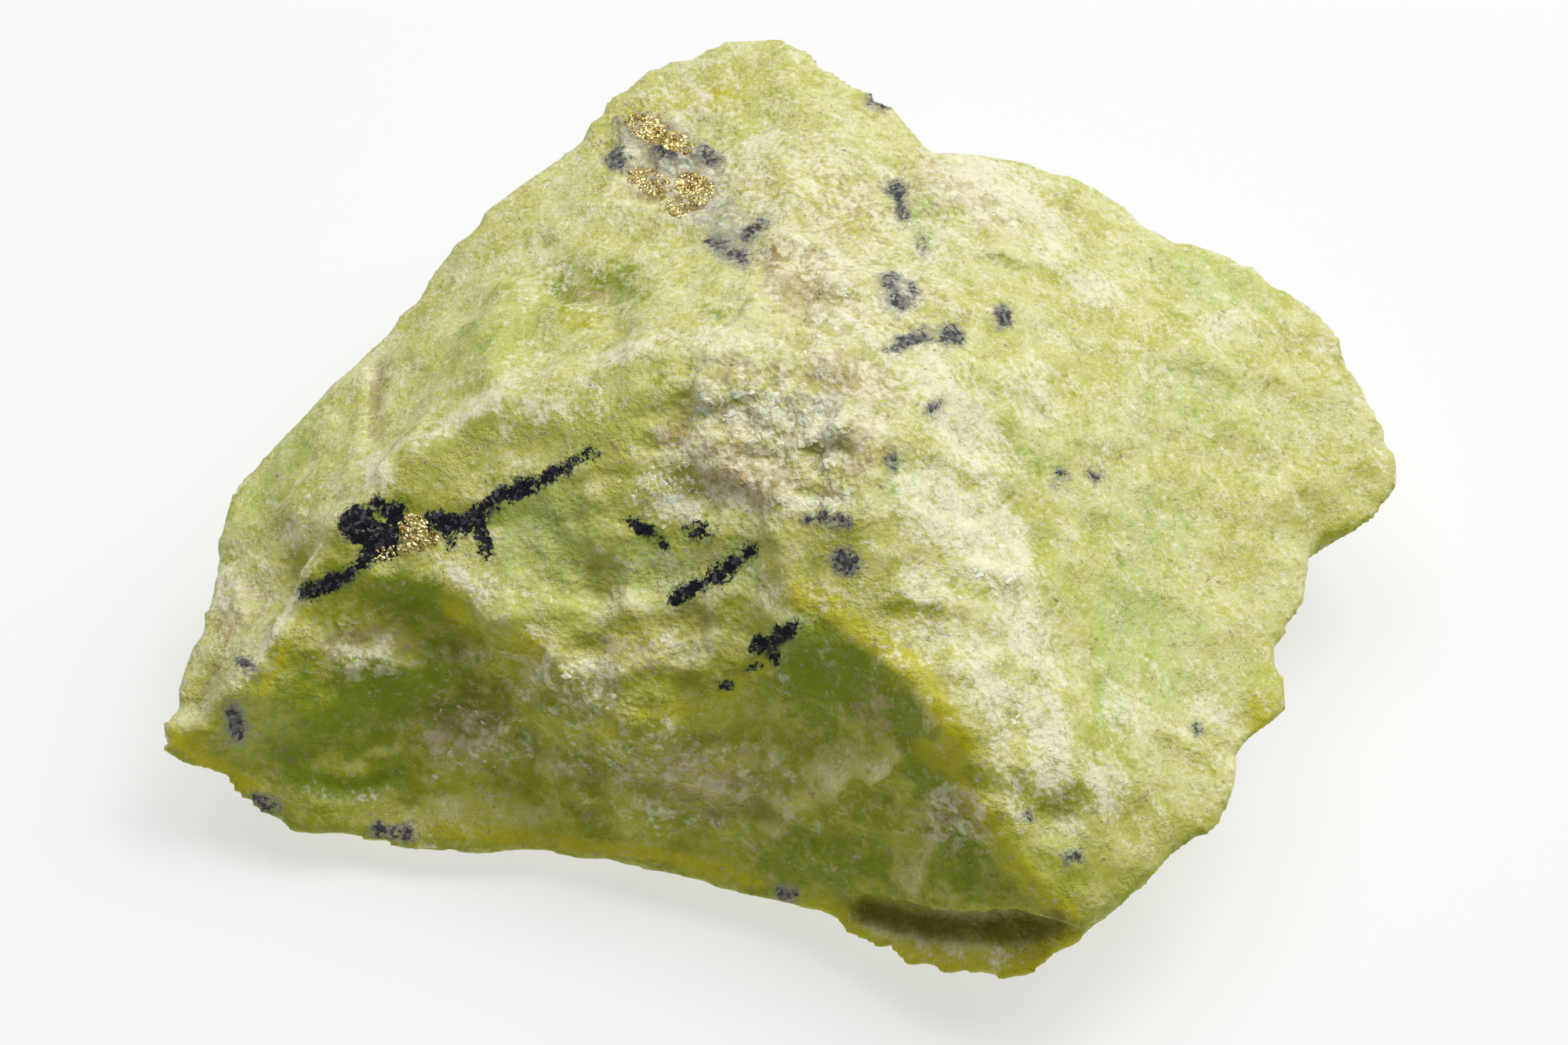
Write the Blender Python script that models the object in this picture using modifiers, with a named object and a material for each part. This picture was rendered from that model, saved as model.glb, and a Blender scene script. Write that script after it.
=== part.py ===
"""Serpentine rock: one hand-sized piece of waxy, broken serpentine.

The stone is modelled in metres, +Z up, resting on its flat foot at Z = 0. The
lines below follow the edges, crests and hollows of the stone in millimetres.
X runs along its length, Y towards its back and Z up.
"""

import math
from dataclasses import dataclass

import bmesh
import bpy
from mathutils import Matrix, Vector, noise
from mathutils.kdtree import KDTree

MM = 0.001

# The stone as a whole
NAME = "rock"
COLLECTION = "serpentine_rock"
CORE = Vector((0.0, 0.0, 7.0))
HALF_SIZE = Vector((32.0, 25.0, 11.0))
LINE_STEP = 1.0
LINE_EASING = 2

# Edge of the stone as seen from above, from the left end round the back
BACK_LEFT_EDGE = [
    (-31.5, -10.5, 7), (-30.5, -7.5, 8), (-29.5, -4.5, 8.5), (-29, -0.5, 9), (-28.8, 2.7, 9.5),
    (-27, 4.4, 10), (-24.5, 6.7, 11), (-22.5, 9, 11.5), (-20, 12, 12), (-17.3, 15.8, 13),
    (-15.3, 17.2, 13.5), (-13.8, 19, 14), (-12.1, 21.1, 14), (-10.3, 20.5, 14.5), (-8.8, 22.7, 15),
]
KNOB_EDGE = [
    (-8.8, 22.7, 15), (-8.7, 24.5, 15.3), (-7.4, 25.8, 15.5), (-6, 26.1, 15.5), (-4, 26.9, 16),
    (-2.5, 27.2, 16), (-0.2, 27.5, 16), (1.1, 25.1, 16.2), (2.4, 23.1, 16.5), (4.3, 22.8, 16),
    (5.6, 23.7, 16), (6.1, 22.1, 16), (7.9, 19.4, 15.8),
]
BACK_RIGHT_EDGE = [
    (7.9, 19.4, 15.8), (10, 20.4, 15), (12.3, 20.3, 14.7), (14.6, 20.2, 14.2), (16.8, 19.3, 13.5),
    (18.8, 17.6, 13), (20.5, 16.5, 12), (22.5, 16.5, 12), (24.5, 15, 11.5), (27.9, 13.5, 11),
    (29.4, 11.1, 10.5), (30.2, 8.5, 10), (31.5, 6.5, 9.5), (32.2, 4.3, 9), (32.2, 3.2, 8.8),
]
RIGHT_EDGE = [
    (32.2, 3.2, 8.8), (31.6, 1.9, 8.7), (30.3, 1.1, 8.7), (28.5, 1, 9), (26.9, 0, 9.2),
    (26.9, -2.6, 9.5), (26.5, -5, 9.5), (25, -6.4, 9.5), (24.7, -8, 9.5), (25.5, -10.4, 9.5),
    (25.3, -11.2, 9.5), (24.3, -12.2, 9.5), (23, -13, 9.5), (22.9, -14.5, 9.5), (22.8, -16, 9.5),
    (21.8, -17.6, 9), (20.2, -18.5, 9), (18.8, -20.2, 9), (16.8, -22, 8.5), (15.1, -23, 7.5),
    (13.6, -23.6, 6.3), (11.8, -24.8, 5.2),
]
FRONT_EDGE = [
    (11.8, -24.8, 5.2), (10, -23.9, 4.8), (7.8, -23.2, 3.8), (5.4, -22.2, 3.3), (3.6, -21, 3),
    (2.4, -19.2, 3), (1, -18.6, 3), (-1, -18, 2.5), (-4, -17, 2.5), (-7, -16, 2.5), (-12.5, -15, 2),
    (-18, -14.8, 2), (-21, -14.4, 2), (-24, -14, 2.4), (-26.2, -13.8, 2.8), (-27.6, -12.9, 3.4),
    (-29.6, -12.4, 4.8), (-31.9, -11.9, 6.2),
]

# Sharp crests between the broken faces
RIGHT_CREST = [
    (5, -3, 21.5), (3.5, -6.5, 21), (1.5, -8, 19.5), (0.5, -10, 18), (2.5, -11, 18),
    (4.5, -13, 18), (6.5, -14.5, 17.5), (8, -16.5, 17), (9, -18, 15.5), (10, -19.5, 14),
    (11, -21.5, 12), (13, -22.5, 10.5), (14.5, -23.5, 9),
]
UPPER_CREST = [
    (-20.5, -1.5, 17), (-18, -0.5, 18), (-15.5, 0.5, 18.5), (-14, 1, 19.5), (-11.5, 2, 20),
    (-9.5, 2, 20.5), (-7.5, 2.5, 21.5), (-5, 2.5, 22), (-2.5, 2, 22),
]
LEFT_CREST = [
    (-20.5, -1.5, 17), (-21.5, -3, 16), (-23, -4.5, 14.5), (-24, -6, 13), (-25.5, -8, 11),
    (-27, -9, 10), (-28, -10.5, 8.5), (-29.5, -11, 7.5),
]
NOSE_CREST = [
    (-21, -4.5, 15), (-18.5, -5.3, 14.9), (-16.5, -6.5, 14.7), (-15.5, -7.6, 14.3),
    (-14, -9.1, 13.9), (-12, -10.2, 13.5),
]
FOLD_CREST = [
    (-12, -10.2, 13.5), (-10.5, -11.8, 12.6), (-8.5, -13.4, 11.7), (-6.5, -13.4, 12.2),
    (-4.5, -12.3, 12.6), (-2.5, -12.2, 13.5), (-1, -11.4, 15.1), (0.5, -10, 18),
]
LIP_BROW = [
    (2, -18.5, 3.5), (4, -19.5, 5), (6, -20.5, 6), (8, -21.5, 7), (9.5, -22, 8), (11.5, -22.5, 9),
    (13.5, -23, 9.5),
]
LIP_RECESS = [
    (3, -18.8, 3.5), (4.5, -18, 4.4), (6, -18.3, 5.1), (8, -19, 5.9), (10, -19.7, 6.9),
    (12, -20.7, 7.8), (13.5, -22.3, 8.3),
]

# Points on the faces between the crests
UPPER_LEFT_FACE = [
    (-17.5, 6, 15), (-15.5, 8, 16), (-14, 14, 15), (-11.5, 15, 15.5), (-9, 12.5, 16.5),
    (-13, 10.5, 16), (-10.5, 9.5, 17), (-8.5, 8.5, 18), (-9, 5.5, 19), (-6, 6.5, 20), (-5, 10, 19),
]
TOP_FACE = [
    (-7, 20.5, 16), (-5.5, 15.5, 17), (-2, 22.5, 16.5), (-1.5, 17, 17.5), (-3, 12, 18.5),
    (0, 10.5, 19), (-1, 6, 21), (2.5, 19.5, 17), (3, 14, 18), (5, 8, 20), (7, 17, 17),
    (8, 12.5, 18), (11, 16, 16.5), (12, 11, 17), (15, 14.5, 15), (9, 6.5, 19),
]
RIGHT_FACE = [
    (2, 2, 22), (2.5, -2.5, 22.5), (8, 1, 20.5), (13, 5.5, 17.5), (18, 10, 15), (23, 10.5, 13),
    (8, -4.5, 20), (13, -1, 17.5), (18, 3, 15), (23.5, 4.5, 12.5), (28, 5, 10.5), (11.5, -6.5, 17),
    (16.5, -4.5, 14.5), (22.5, -2, 12), (6, -10.5, 19), (9.5, -11.5, 17.5), (10, -15.5, 16.5),
    (13, -13.5, 15), (17, -11, 13), (22, -9, 11), (12.5, -18.5, 14.5), (16.5, -17.5, 12.5),
    (20.5, -15, 10.5), (14.5, -21, 11.5), (18, -19, 10.5),
]
MIDDLE_FACE = [
    (-18, -2.7, 16.8), (-16, -2, 17.7), (-12, -2.4, 18.6), (-9, -1.3, 19.8), (-6, -0.8, 20.2),
    (-2, -2.2, 20.8), (-16, -5.2, 15.5), (-12, -5.9, 15.7), (-9, -4.3, 17.6), (-6, -4.7, 18),
    (-2, -5.3, 19), (0, -5.8, 19.9), (-14, -6.6, 14.8), (-10, -7.7, 14.6), (-6, -7.8, 15.1),
    (-2, -8.7, 16.5), (-10, -10.4, 13.2), (-6, -10.9, 13.4),
]
SCOOP_FACE = [
    (-28, -11.6, 6.3), (-26, -9.5, 8), (-26, -11.1, 5.1), (-23.5, -6.1, 11.6), (-23.5, -8.9, 8.9),
    (-23.5, -10.3, 5.7), (-23.5, -12.7, 4.1), (-21, -6.2, 11.1), (-21, -8.5, 9.3), (-21, -9.8, 6.7),
    (-21, -12.2, 4.1), (-18.5, -6.5, 10.7), (-18.5, -8.8, 8.7), (-18.5, -10, 6.2),
    (-18.5, -12.4, 4), (-16, -7.2, 10.9), (-16, -8.4, 9.1), (-16, -8.9, 7.1), (-16, -10.5, 6),
    (-16, -12.6, 4), (-13.5, -9.5, 9.8), (-13.5, -10.5, 6.9), (-13.5, -12, 4.5),
]
FRONT_FACE = [
    (-12, -11.3, 9.4), (-12, -13, 5.5), (-8, -13.5, 8), (-8, -14.5, 5), (-4, -13.5, 8.5),
    (-4, -15, 5.5), (0, -11.8, 14.9), (0, -13, 12), (0, -15, 8.5), (0, -17, 5), (4, -14, 15),
    (4, -15.5, 12), (4, -17, 8.5), (7.5, -17.3, 14), (7.5, -19, 10.5), (10.5, -21.3, 11),
]

# Back and underside, down to the foot
BACK_SKIRT = [
    (-27, 0, 4.5), (-22, 6, 5), (-17, 12, 6), (-12, 17, 6.5), (-8, 21, 8), (-2, 24, 8),
    (5, 19.5, 7), (11, 18, 6.5), (18, 15, 6), (24, 11.5, 6.5), (27, 6, 6),
    (7.2, 19, 13.3), (7.5, 19.4, 14.8),
]
UNDERSIDE = [
    (24, -2, 5.5), (20, -10, 5.5), (17, -17, 6), (11, -19.5, 3), (4, -17, 1.5), (-6, -13.6, 0.6),
    (-15, -12.2, 0.4), (-23, -11, 1), (-26, -6, 3.5), (-21, 0, 1.8), (-16, 7, 1.5), (-9, 14, 1.8),
    (0, 17, 2), (9, 14, 2), (17, 9, 2.5), (19, 1, 2.5), (16, -7, 2),
    (27, -0.6, 8.6), (27, 0, 7.4),
]
FOOT = [
    (-15, -8, -0.4), (-14, 0, -0.5), (-7, 8, -0.5), (2, 11, -0.4), (10, 6, -0.5), (12, -3, -0.5),
    (7, -11, -0.4), (-3, -10, -0.6), (-5, 0, -0.8), (4, 0, -0.8),
]

LINES = [BACK_LEFT_EDGE, KNOB_EDGE, BACK_RIGHT_EDGE, RIGHT_EDGE, FRONT_EDGE, RIGHT_CREST,
         UPPER_CREST, LEFT_CREST, NOSE_CREST, FOLD_CREST, LIP_BROW, LIP_RECESS]
CREASED = [line for line in LINES if line is not FOLD_CREST]
FACES = [UPPER_LEFT_FACE, TOP_FACE, RIGHT_FACE, MIDDLE_FACE, SCOOP_FACE, FRONT_FACE,
         BACK_SKIRT, UNDERSIDE, FOOT]

# Marks worn and broken into the faces, as seen from the front at VIEW_RISE above level.
# Across and up are millimetres in a plane through VIEW_MIDDLE, square to that view.
VIEW_RISE = math.radians(55.0)
VIEW_DISTANCE = 320.0
VIEW_MIDDLE = Vector((0.0, -1.0, 11.6))


@dataclass(frozen=True)
class Stroke:
    """A groove (depth above 0) or a raised line (depth below 0) along points across and up."""

    points: tuple
    depth: float
    half_width: float


@dataclass(frozen=True)
class Dent:
    """A shallow hollow (depth above 0) or swell (depth below 0) around a middle across and up."""

    middle: tuple
    radius_across: float
    radius_up: float
    depth: float


@dataclass(frozen=True)
class Crumble:
    """A patch where the stone broke into grains and chips instead of along a smooth face."""

    middle: tuple
    radius_across: float
    radius_up: float
    grains: float
    chips: float


STROKES = [
    Stroke(((-20.6, 7.9), (-20.9, 6.3), (-21.0, 4.4)), 0.35, 0.35),
    Stroke(((-23.9, -0.9), (-25.1, -2.7), (-26.2, -4.5), (-27.1, -6.7)), 0.5, 0.45),
    Stroke(((-26.8, -3.7), (-28.2, -6.1), (-29.3, -8.1), (-29.9, -9.5)), 0.45, 0.4),
    Stroke(((-22.7, 0.3), (-24.2, -2.9), (-26.0, -5.1), (-27.3, -7.3), (-28.0, -8.7), (-29.5, -10.3)),
           -0.35, 0.5),
    Stroke(((-24.6, 1.4), (-26.3, -1.8), (-27.6, -5.0), (-28.8, -7.2)), -0.2, 0.45),
    Stroke(((-12.4, -7.3), (-13.1, -8.7), (-14.0, -10.3), (-15.6, -11.8), (-18.0, -13.0)), -0.2, 0.35),
    Stroke(((-23.7, -13.3), (-22.4, -13.7), (-20.9, -13.5), (-19.8, -13.0)), 0.5, 0.35),
    Stroke(((12.0, 0.7), (13.2, -0.9), (14.2, -2.5), (15.4, -4.1), (16.1, -5.7), (15.9, -7.3),
            (15.9, -10.9), (15.6, -12.9)), 0.2, 0.5),
    Stroke(((6.0, -11.2), (7.6, -11.6), (8.8, -11.5)), 0.3, 0.4),
    Stroke(((-11.2, -1.2), (-10.0, -3.2), (-8.8, -5.0)), 0.3, 0.8),
    Stroke(((-16.0, 5.2), (-13.6, 6.9), (-11.4, 7.7)), -0.25, 0.5),
]
DENTS = [
    Dent((-10.6, 11.9), 3.2, 1.5, 0.7),
    Dent((-6.6, 17.3), 2.6, 2.6, 0.35),
    Dent((18.4, -5.5), 3.0, 4.5, 0.5),
    Dent((0.2, 4.4), 4.0, 2.6, 0.5),
    Dent((0.6, 11.6), 2.4, 2.0, 0.4),
    Dent((-20.6, -10.8), 4.0, 2.6, 0.2),
    Dent((-5.8, -2.2), 4.0, 2.2, 0.5),
    Dent((-9.4, -7.0), 2.6, 1.8, 0.4),
    Dent((-6.0, 10.6), 3.0, 1.4, -0.4),
    Dent((5.0, 17.0), 3.0, 2.4, 0.3),
    Dent((11.0, 11.0), 4.0, 3.0, -0.3),
    Dent((1.6, -11.4), 3.4, 2.4, 0.35),
]
CRUMBLES = [
    Crumble((-0.4, 4.6), 8.0, 5.6, 0.5, 0.5),
    Crumble((1.2, 12.6), 4.0, 4.0, 0.3, 0.3),
    Crumble((-6.4, 17.6), 3.6, 3.6, 0.15, 0.3),
    Crumble((-6.0, -5.0), 13.0, 6.0, 0.12, 0.8),
    Crumble((-2.0, -13.0), 14.0, 4.6, 0.16, 0.7),
    Crumble((-17.0, -7.0), 6.0, 2.6, 0.2, 0.5),
    Crumble((9.4, -15.6), 3.6, 3.0, 0.16, 0.4),
    Crumble((7.6, -5.0), 4.4, 7.0, 0.12, 0.5),
    Crumble((9.0, 5.0), 5.0, 5.0, 0.1, 0.4),
    Crumble((-22.0, -6.6), 3.0, 2.0, 0.2, 0.4),
]

# Surface
VOXEL = 0.5
SMOOTHING_STEPS = 22
CREST_WEAR = 0.1
CREST_SOFTNESS = 2.4
CREST_CALM = 0.4
SETTLING_STEPS = 2
TRIANGLES = 9900
BROAD_SIZE = 8.0
BROAD_HEIGHT = 0.3
FINE_SIZE = 2.6
FINE_HEIGHT = 0.14
FINE_SHIFT = Vector((7.0, 3.0, 1.0))
SKIN_DEPTH = 0.3
SHELL_SIZE = 8.0
SHELL_TILT = 0.08
SHELL_HOLLOW = 0.14
FLAKE_SIZE = 3.6
FLAKE_TILT = 0.1
FLAKE_HOLLOW = 0.17
CHIP_SIZE = 2.8
CHIP_TILT = 0.28
CHIP_HOLLOW = 0.44
GRAIN_SIZE = 1.3

WAXY_GREEN = (0.42, 0.44, 0.13, 1.0)
WAXY_ROUGHNESS = 0.5


def clear_scene():
    """Remove whatever the scene holds."""
    for obj in list(bpy.context.scene.objects):
        bpy.data.objects.remove(obj, do_unlink=True)


def curve_point(a, b, c, d, t):
    """Point at t between b and c on the smooth curve through a, b, c and d."""
    return 0.5 * ((2 * b) + (c - a) * t + (2 * a - 5 * b + 4 * c - d) * t * t
                  + (3 * b - a - 3 * c + d) * t * t * t)


def smooth_line(points, step):
    """Points about one step apart along the smooth curve through a line's points."""
    ends = [Vector(p) for p in points]
    padded = [2 * ends[0] - ends[1]] + ends + [2 * ends[-1] - ends[-2]]
    line = []
    for i in range(len(ends) - 1):
        a, b, c, d = padded[i:i + 4]
        count = max(1, round((c - b).length / step))
        line += [curve_point(a, b, c, d, k / count) for k in range(count)]
    line.append(ends[-1])
    for _ in range(LINE_EASING):
        inner = [(a + 2 * b + c) / 4 for a, b, c in zip(line, line[1:], line[2:])]
        line = [line[0]] + inner + [line[-1]]
    return line


def landmark_points():
    """Every landmark of the stone once, lines first."""
    found = []
    for line in LINES:
        found += smooth_line(line, LINE_STEP)
    for face in FACES:
        found += [Vector(p) for p in face]
    kept = []
    for point in found:
        if all((point - other).length > 0.4 for other in kept):
            kept.append(point)
    return kept


def coarse_stone():
    """Closed mesh over the landmarks, joined as their directions from the core lie."""
    points = landmark_points()
    bm = bmesh.new()
    for point in points:
        offset = point - CORE
        spread = Vector(a / b for a, b in zip(offset, HALF_SIZE))
        bm.verts.new(spread.normalized())
    bm.verts.ensure_lookup_table()
    place = {vert: point for vert, point in zip(bm.verts, points)}
    bmesh.ops.convex_hull(bm, input=list(bm.verts))
    bmesh.ops.triangulate(bm, faces=bm.faces)
    for vert in bm.verts:
        vert.co = place[vert] * MM
    bmesh.ops.recalc_face_normals(bm, faces=bm.faces)
    mesh = bpy.data.meshes.new(NAME)
    bm.to_mesh(mesh)
    bm.free()
    obj = bpy.data.objects.new(NAME, mesh)
    return obj


def apply_modifiers(obj):
    """Replace an object's mesh by its evaluated one."""
    depsgraph = bpy.context.evaluated_depsgraph_get()
    mesh = bpy.data.meshes.new_from_object(obj.evaluated_get(depsgraph))
    obj.modifiers.clear()
    obj.data = mesh


def crest_tree():
    """Search tree over points along the creased lines, in millimetres."""
    points = [p for line in CREASED for p in smooth_line(line, 0.5)]
    tree = KDTree(len(points))
    for i, point in enumerate(points):
        tree.insert(point, i)
    tree.balance()
    return tree


def seen(point):
    """A point in millimetres as seen in the view plane: across and up."""
    forward = Vector((0.0, math.cos(VIEW_RISE), -math.sin(VIEW_RISE)))
    upward = Vector((0.0, math.sin(VIEW_RISE), math.cos(VIEW_RISE)))
    offset = point - VIEW_MIDDLE
    scale = VIEW_DISTANCE / (VIEW_DISTANCE + offset.dot(forward))
    return Vector((offset.x * scale, offset.dot(upward) * scale))


def distance_to_line(spot, points):
    """Distance in the view plane from a spot to a run of points."""
    best = math.inf
    for start, end in zip(points, points[1:]):
        start = Vector(start)
        along = Vector(end) - start
        part = max(0.0, min(1.0, (spot - start).dot(along) / along.length_squared))
        best = min(best, (spot - start - along * part).length)
    return best


def patch_weight(spot, patch):
    """1 at the middle of a patch, falling to 0 at its edge."""
    across = (spot.x - patch.middle[0]) / patch.radius_across
    up = (spot.y - patch.middle[1]) / patch.radius_up
    return max(0.0, 1.0 - across * across - up * up) ** 1.5


def carved_depth(point, normal):
    """How far the strokes, dents and crumbled patches sink a point of the surface."""
    towards = Vector((0.0, -math.cos(VIEW_RISE), math.sin(VIEW_RISE)))
    facing = max(0.0, min(1.0, normal.dot(towards) / 0.3))
    if facing == 0.0:
        return 0.0
    spot = seen(point)
    depth = 0.0
    for stroke in STROKES:
        away = distance_to_line(spot, stroke.points) / stroke.half_width
        depth += stroke.depth * math.exp(-away * away)
    for dent in DENTS:
        depth += dent.depth * patch_weight(spot, dent)
    for crumble in CRUMBLES:
        weight = min(1.0, 2.0 * patch_weight(spot, crumble))
        if weight > 0.0:
            grains = noise.fractal(point / GRAIN_SIZE, 0.7, 2.0, 3)
            chips = shells(point, CHIP_SIZE, CHIP_TILT, CHIP_HOLLOW)
            depth += weight * (crumble.grains * grains - crumble.chips * chips)
    return depth * facing


def shells(point, size, tilt, hollow):
    """Height of hollow shells about one size across, each tilted its own way, sharp between."""
    distances, middles = noise.voronoi(point / size)
    heights = []
    for distance, middle in zip(distances, middles):
        lean = noise.cell_vector(middle) * 2.0 - Vector((1.0, 1.0, 1.0))
        heights.append(tilt * lean.dot(point / size - middle) + hollow * distance * distance)
    return size * min(heights)


def relief(point):
    """Height of the uneven break over the smooth faces: waves, small lumps and shells."""
    broad = noise.fractal(point / BROAD_SIZE, 1.0, 2.0, 3)
    fine = noise.fractal(point / FINE_SIZE + FINE_SHIFT, 0.8, 2.0, 3)
    return (BROAD_HEIGHT * broad + FINE_HEIGHT * fine
            + shells(point, SHELL_SIZE, SHELL_TILT, SHELL_HOLLOW)
            + shells(point + FINE_SHIFT, FLAKE_SIZE, FLAKE_TILT, FLAKE_HOLLOW)
            - SKIN_DEPTH)


def wear_faces(stone):
    """Round the stone all over, least along its crests."""
    tree = crest_tree()
    group = stone.vertex_groups.new(name="soft")
    for vert in stone.data.vertices:
        distance = tree.find(vert.co / MM)[2]
        weight = CREST_WEAR + (1.0 - CREST_WEAR) * min(1.0, distance / CREST_SOFTNESS) ** 2
        group.add([vert.index], weight, "REPLACE")
    smooth = stone.modifiers.new("wear", "SMOOTH")
    smooth.factor = 0.5
    smooth.iterations = SMOOTHING_STEPS
    smooth.vertex_group = group.name
    apply_modifiers(stone)


def carve_faces(stone):
    """Move every point of the surface by its relief and marks, with little relief at a crest."""
    tree = crest_tree()
    bm = bmesh.new()
    bm.from_mesh(stone.data)
    bm.normal_update()
    for vert in bm.verts:
        point = vert.co / MM
        calm = CREST_CALM + (1.0 - CREST_CALM) * min(1.0, tree.find(point)[2] / CREST_SOFTNESS)
        height = calm * relief(point) - carved_depth(point, vert.normal)
        vert.co += vert.normal * height * MM
    bm.to_mesh(stone.data)
    bm.free()


def cut_foot(stone):
    """Cut the underside off level, which leaves the flat foot."""
    bm = bmesh.new()
    bm.from_mesh(stone.data)
    everything = list(bm.verts) + list(bm.edges) + list(bm.faces)
    bmesh.ops.bisect_plane(bm, geom=everything, plane_co=(0, 0, 0), plane_no=(0, 0, -1),
                           clear_outer=True)
    open_edges = [edge for edge in bm.edges if edge.is_boundary]
    bmesh.ops.holes_fill(bm, edges=open_edges, sides=0)
    bmesh.ops.triangulate(bm, faces=list(bm.faces))
    bm.to_mesh(stone.data)
    bm.free()


def stand_on_origin(stone):
    """Put the middle of the stone's base, as its box has it, at the origin."""
    corners = [Vector(corner) for corner in stone.bound_box]
    low = Vector(min(c[i] for c in corners) for i in range(3))
    high = Vector(max(c[i] for c in corners) for i in range(3))
    middle = Vector(((low.x + high.x) / 2, (low.y + high.y) / 2, low.z))
    stone.data.transform(Matrix.Translation(-middle))


def dress(stone):
    """Give the stone its waxy yellow-green material and smooth shading."""
    material = bpy.data.materials.new("waxy_serpentine")
    material.use_nodes = True
    shader = material.node_tree.nodes["Principled BSDF"]
    shader.inputs["Base Color"].default_value = WAXY_GREEN
    shader.inputs["Roughness"].default_value = WAXY_ROUGHNESS
    stone.data.materials.append(material)
    stone.data.shade_smooth()


def main():
    """Build the stone."""
    clear_scene()
    collection = bpy.data.collections.new(COLLECTION)
    bpy.context.scene.collection.children.link(collection)
    stone = coarse_stone()
    collection.objects.link(stone)

    remesh = stone.modifiers.new("even", "REMESH")
    remesh.mode = "VOXEL"
    remesh.voxel_size = VOXEL * MM
    apply_modifiers(stone)

    wear_faces(stone)
    carve_faces(stone)
    settle = stone.modifiers.new("settle", "SMOOTH")
    settle.factor = 0.5
    settle.iterations = SETTLING_STEPS
    apply_modifiers(stone)
    decimate = stone.modifiers.new("facets", "DECIMATE")
    decimate.ratio = TRIANGLES / (2 * len(stone.data.polygons))
    apply_modifiers(stone)
    cut_foot(stone)
    stand_on_origin(stone)
    dress(stone)


main()
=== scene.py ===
"""Serpentine rock: the looks of one waxy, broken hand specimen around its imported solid.

The stone's surface, its dark ore veins, its brassy sulphide grains and the
loose grains of its crumbled patches are built here, in metres, +Z up. Marks on
the side that the photograph shows are placed in a view plane, in millimetres
across and up from the middle of the photograph. The other sides get the same
stone by noise.
"""

import logging
import math
import random
from dataclasses import dataclass, field
from enum import Enum

import bmesh
import bpy
import numpy as np
from mathutils import Matrix, Vector, noise
from mathutils.bvhtree import BVHTree

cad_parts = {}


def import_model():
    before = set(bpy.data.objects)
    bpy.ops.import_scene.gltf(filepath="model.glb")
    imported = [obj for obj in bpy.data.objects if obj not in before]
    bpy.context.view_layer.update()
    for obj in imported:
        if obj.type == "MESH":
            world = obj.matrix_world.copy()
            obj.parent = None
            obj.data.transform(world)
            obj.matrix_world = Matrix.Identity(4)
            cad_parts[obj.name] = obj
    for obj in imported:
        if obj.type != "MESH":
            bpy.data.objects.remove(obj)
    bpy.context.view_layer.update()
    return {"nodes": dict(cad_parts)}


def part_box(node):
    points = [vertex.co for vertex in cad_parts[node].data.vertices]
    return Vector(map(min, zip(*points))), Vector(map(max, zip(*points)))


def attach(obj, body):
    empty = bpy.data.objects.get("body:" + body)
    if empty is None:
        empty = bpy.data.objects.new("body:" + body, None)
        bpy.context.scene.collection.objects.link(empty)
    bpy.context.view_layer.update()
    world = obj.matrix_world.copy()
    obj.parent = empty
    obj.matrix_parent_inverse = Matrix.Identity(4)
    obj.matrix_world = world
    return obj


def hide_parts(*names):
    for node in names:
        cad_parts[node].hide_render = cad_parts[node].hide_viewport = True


MM = 0.001
NODE = "rock"
BODY = "root"
FINEST_GRAIN = 0.07

Spot = tuple[float, float]
Triple = tuple[float, float, float]
Socket = bpy.types.NodeSocket

log = logging.getLogger("serpentine_rock")


class Tint(Enum):
    """The colours that the stone's surface changes to, patch by patch."""

    BLOOM = "bloom"
    BROWN = "brown"
    GREEN = "green"
    # Painted shade where the shown stone turns from the light; deep green by noise on the hidden sides
    DEEP_GREEN_AND_SHADE = "deep_green_and_shade"
    # Painted glow of light through thin edges
    AMBER_GLOW = "amber_glow"
    SLATE = "slate"
    RUST = "rust"
    LIME = "lime"
    # Painted shade in recesses
    HOLLOW_SHADE = "hollow"
    ROUGH = "rough"


@dataclass(frozen=True)
class Patch:
    """An oval patch of one tint around a middle across and up, in millimetres."""

    tint: Tint
    middle: Spot
    radii: Spot
    tilt: float
    strength: float


@dataclass(frozen=True)
class Band:
    """A band of one tint along points across and up, in millimetres."""

    tint: Tint
    points: tuple[Spot, ...]
    half_width: float
    strength: float


@dataclass(frozen=True)
class Vein:
    """A dark vein or spot along points across and up, with its half width, in millimetres."""

    points: tuple[Spot, ...]
    half_width: float


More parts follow.
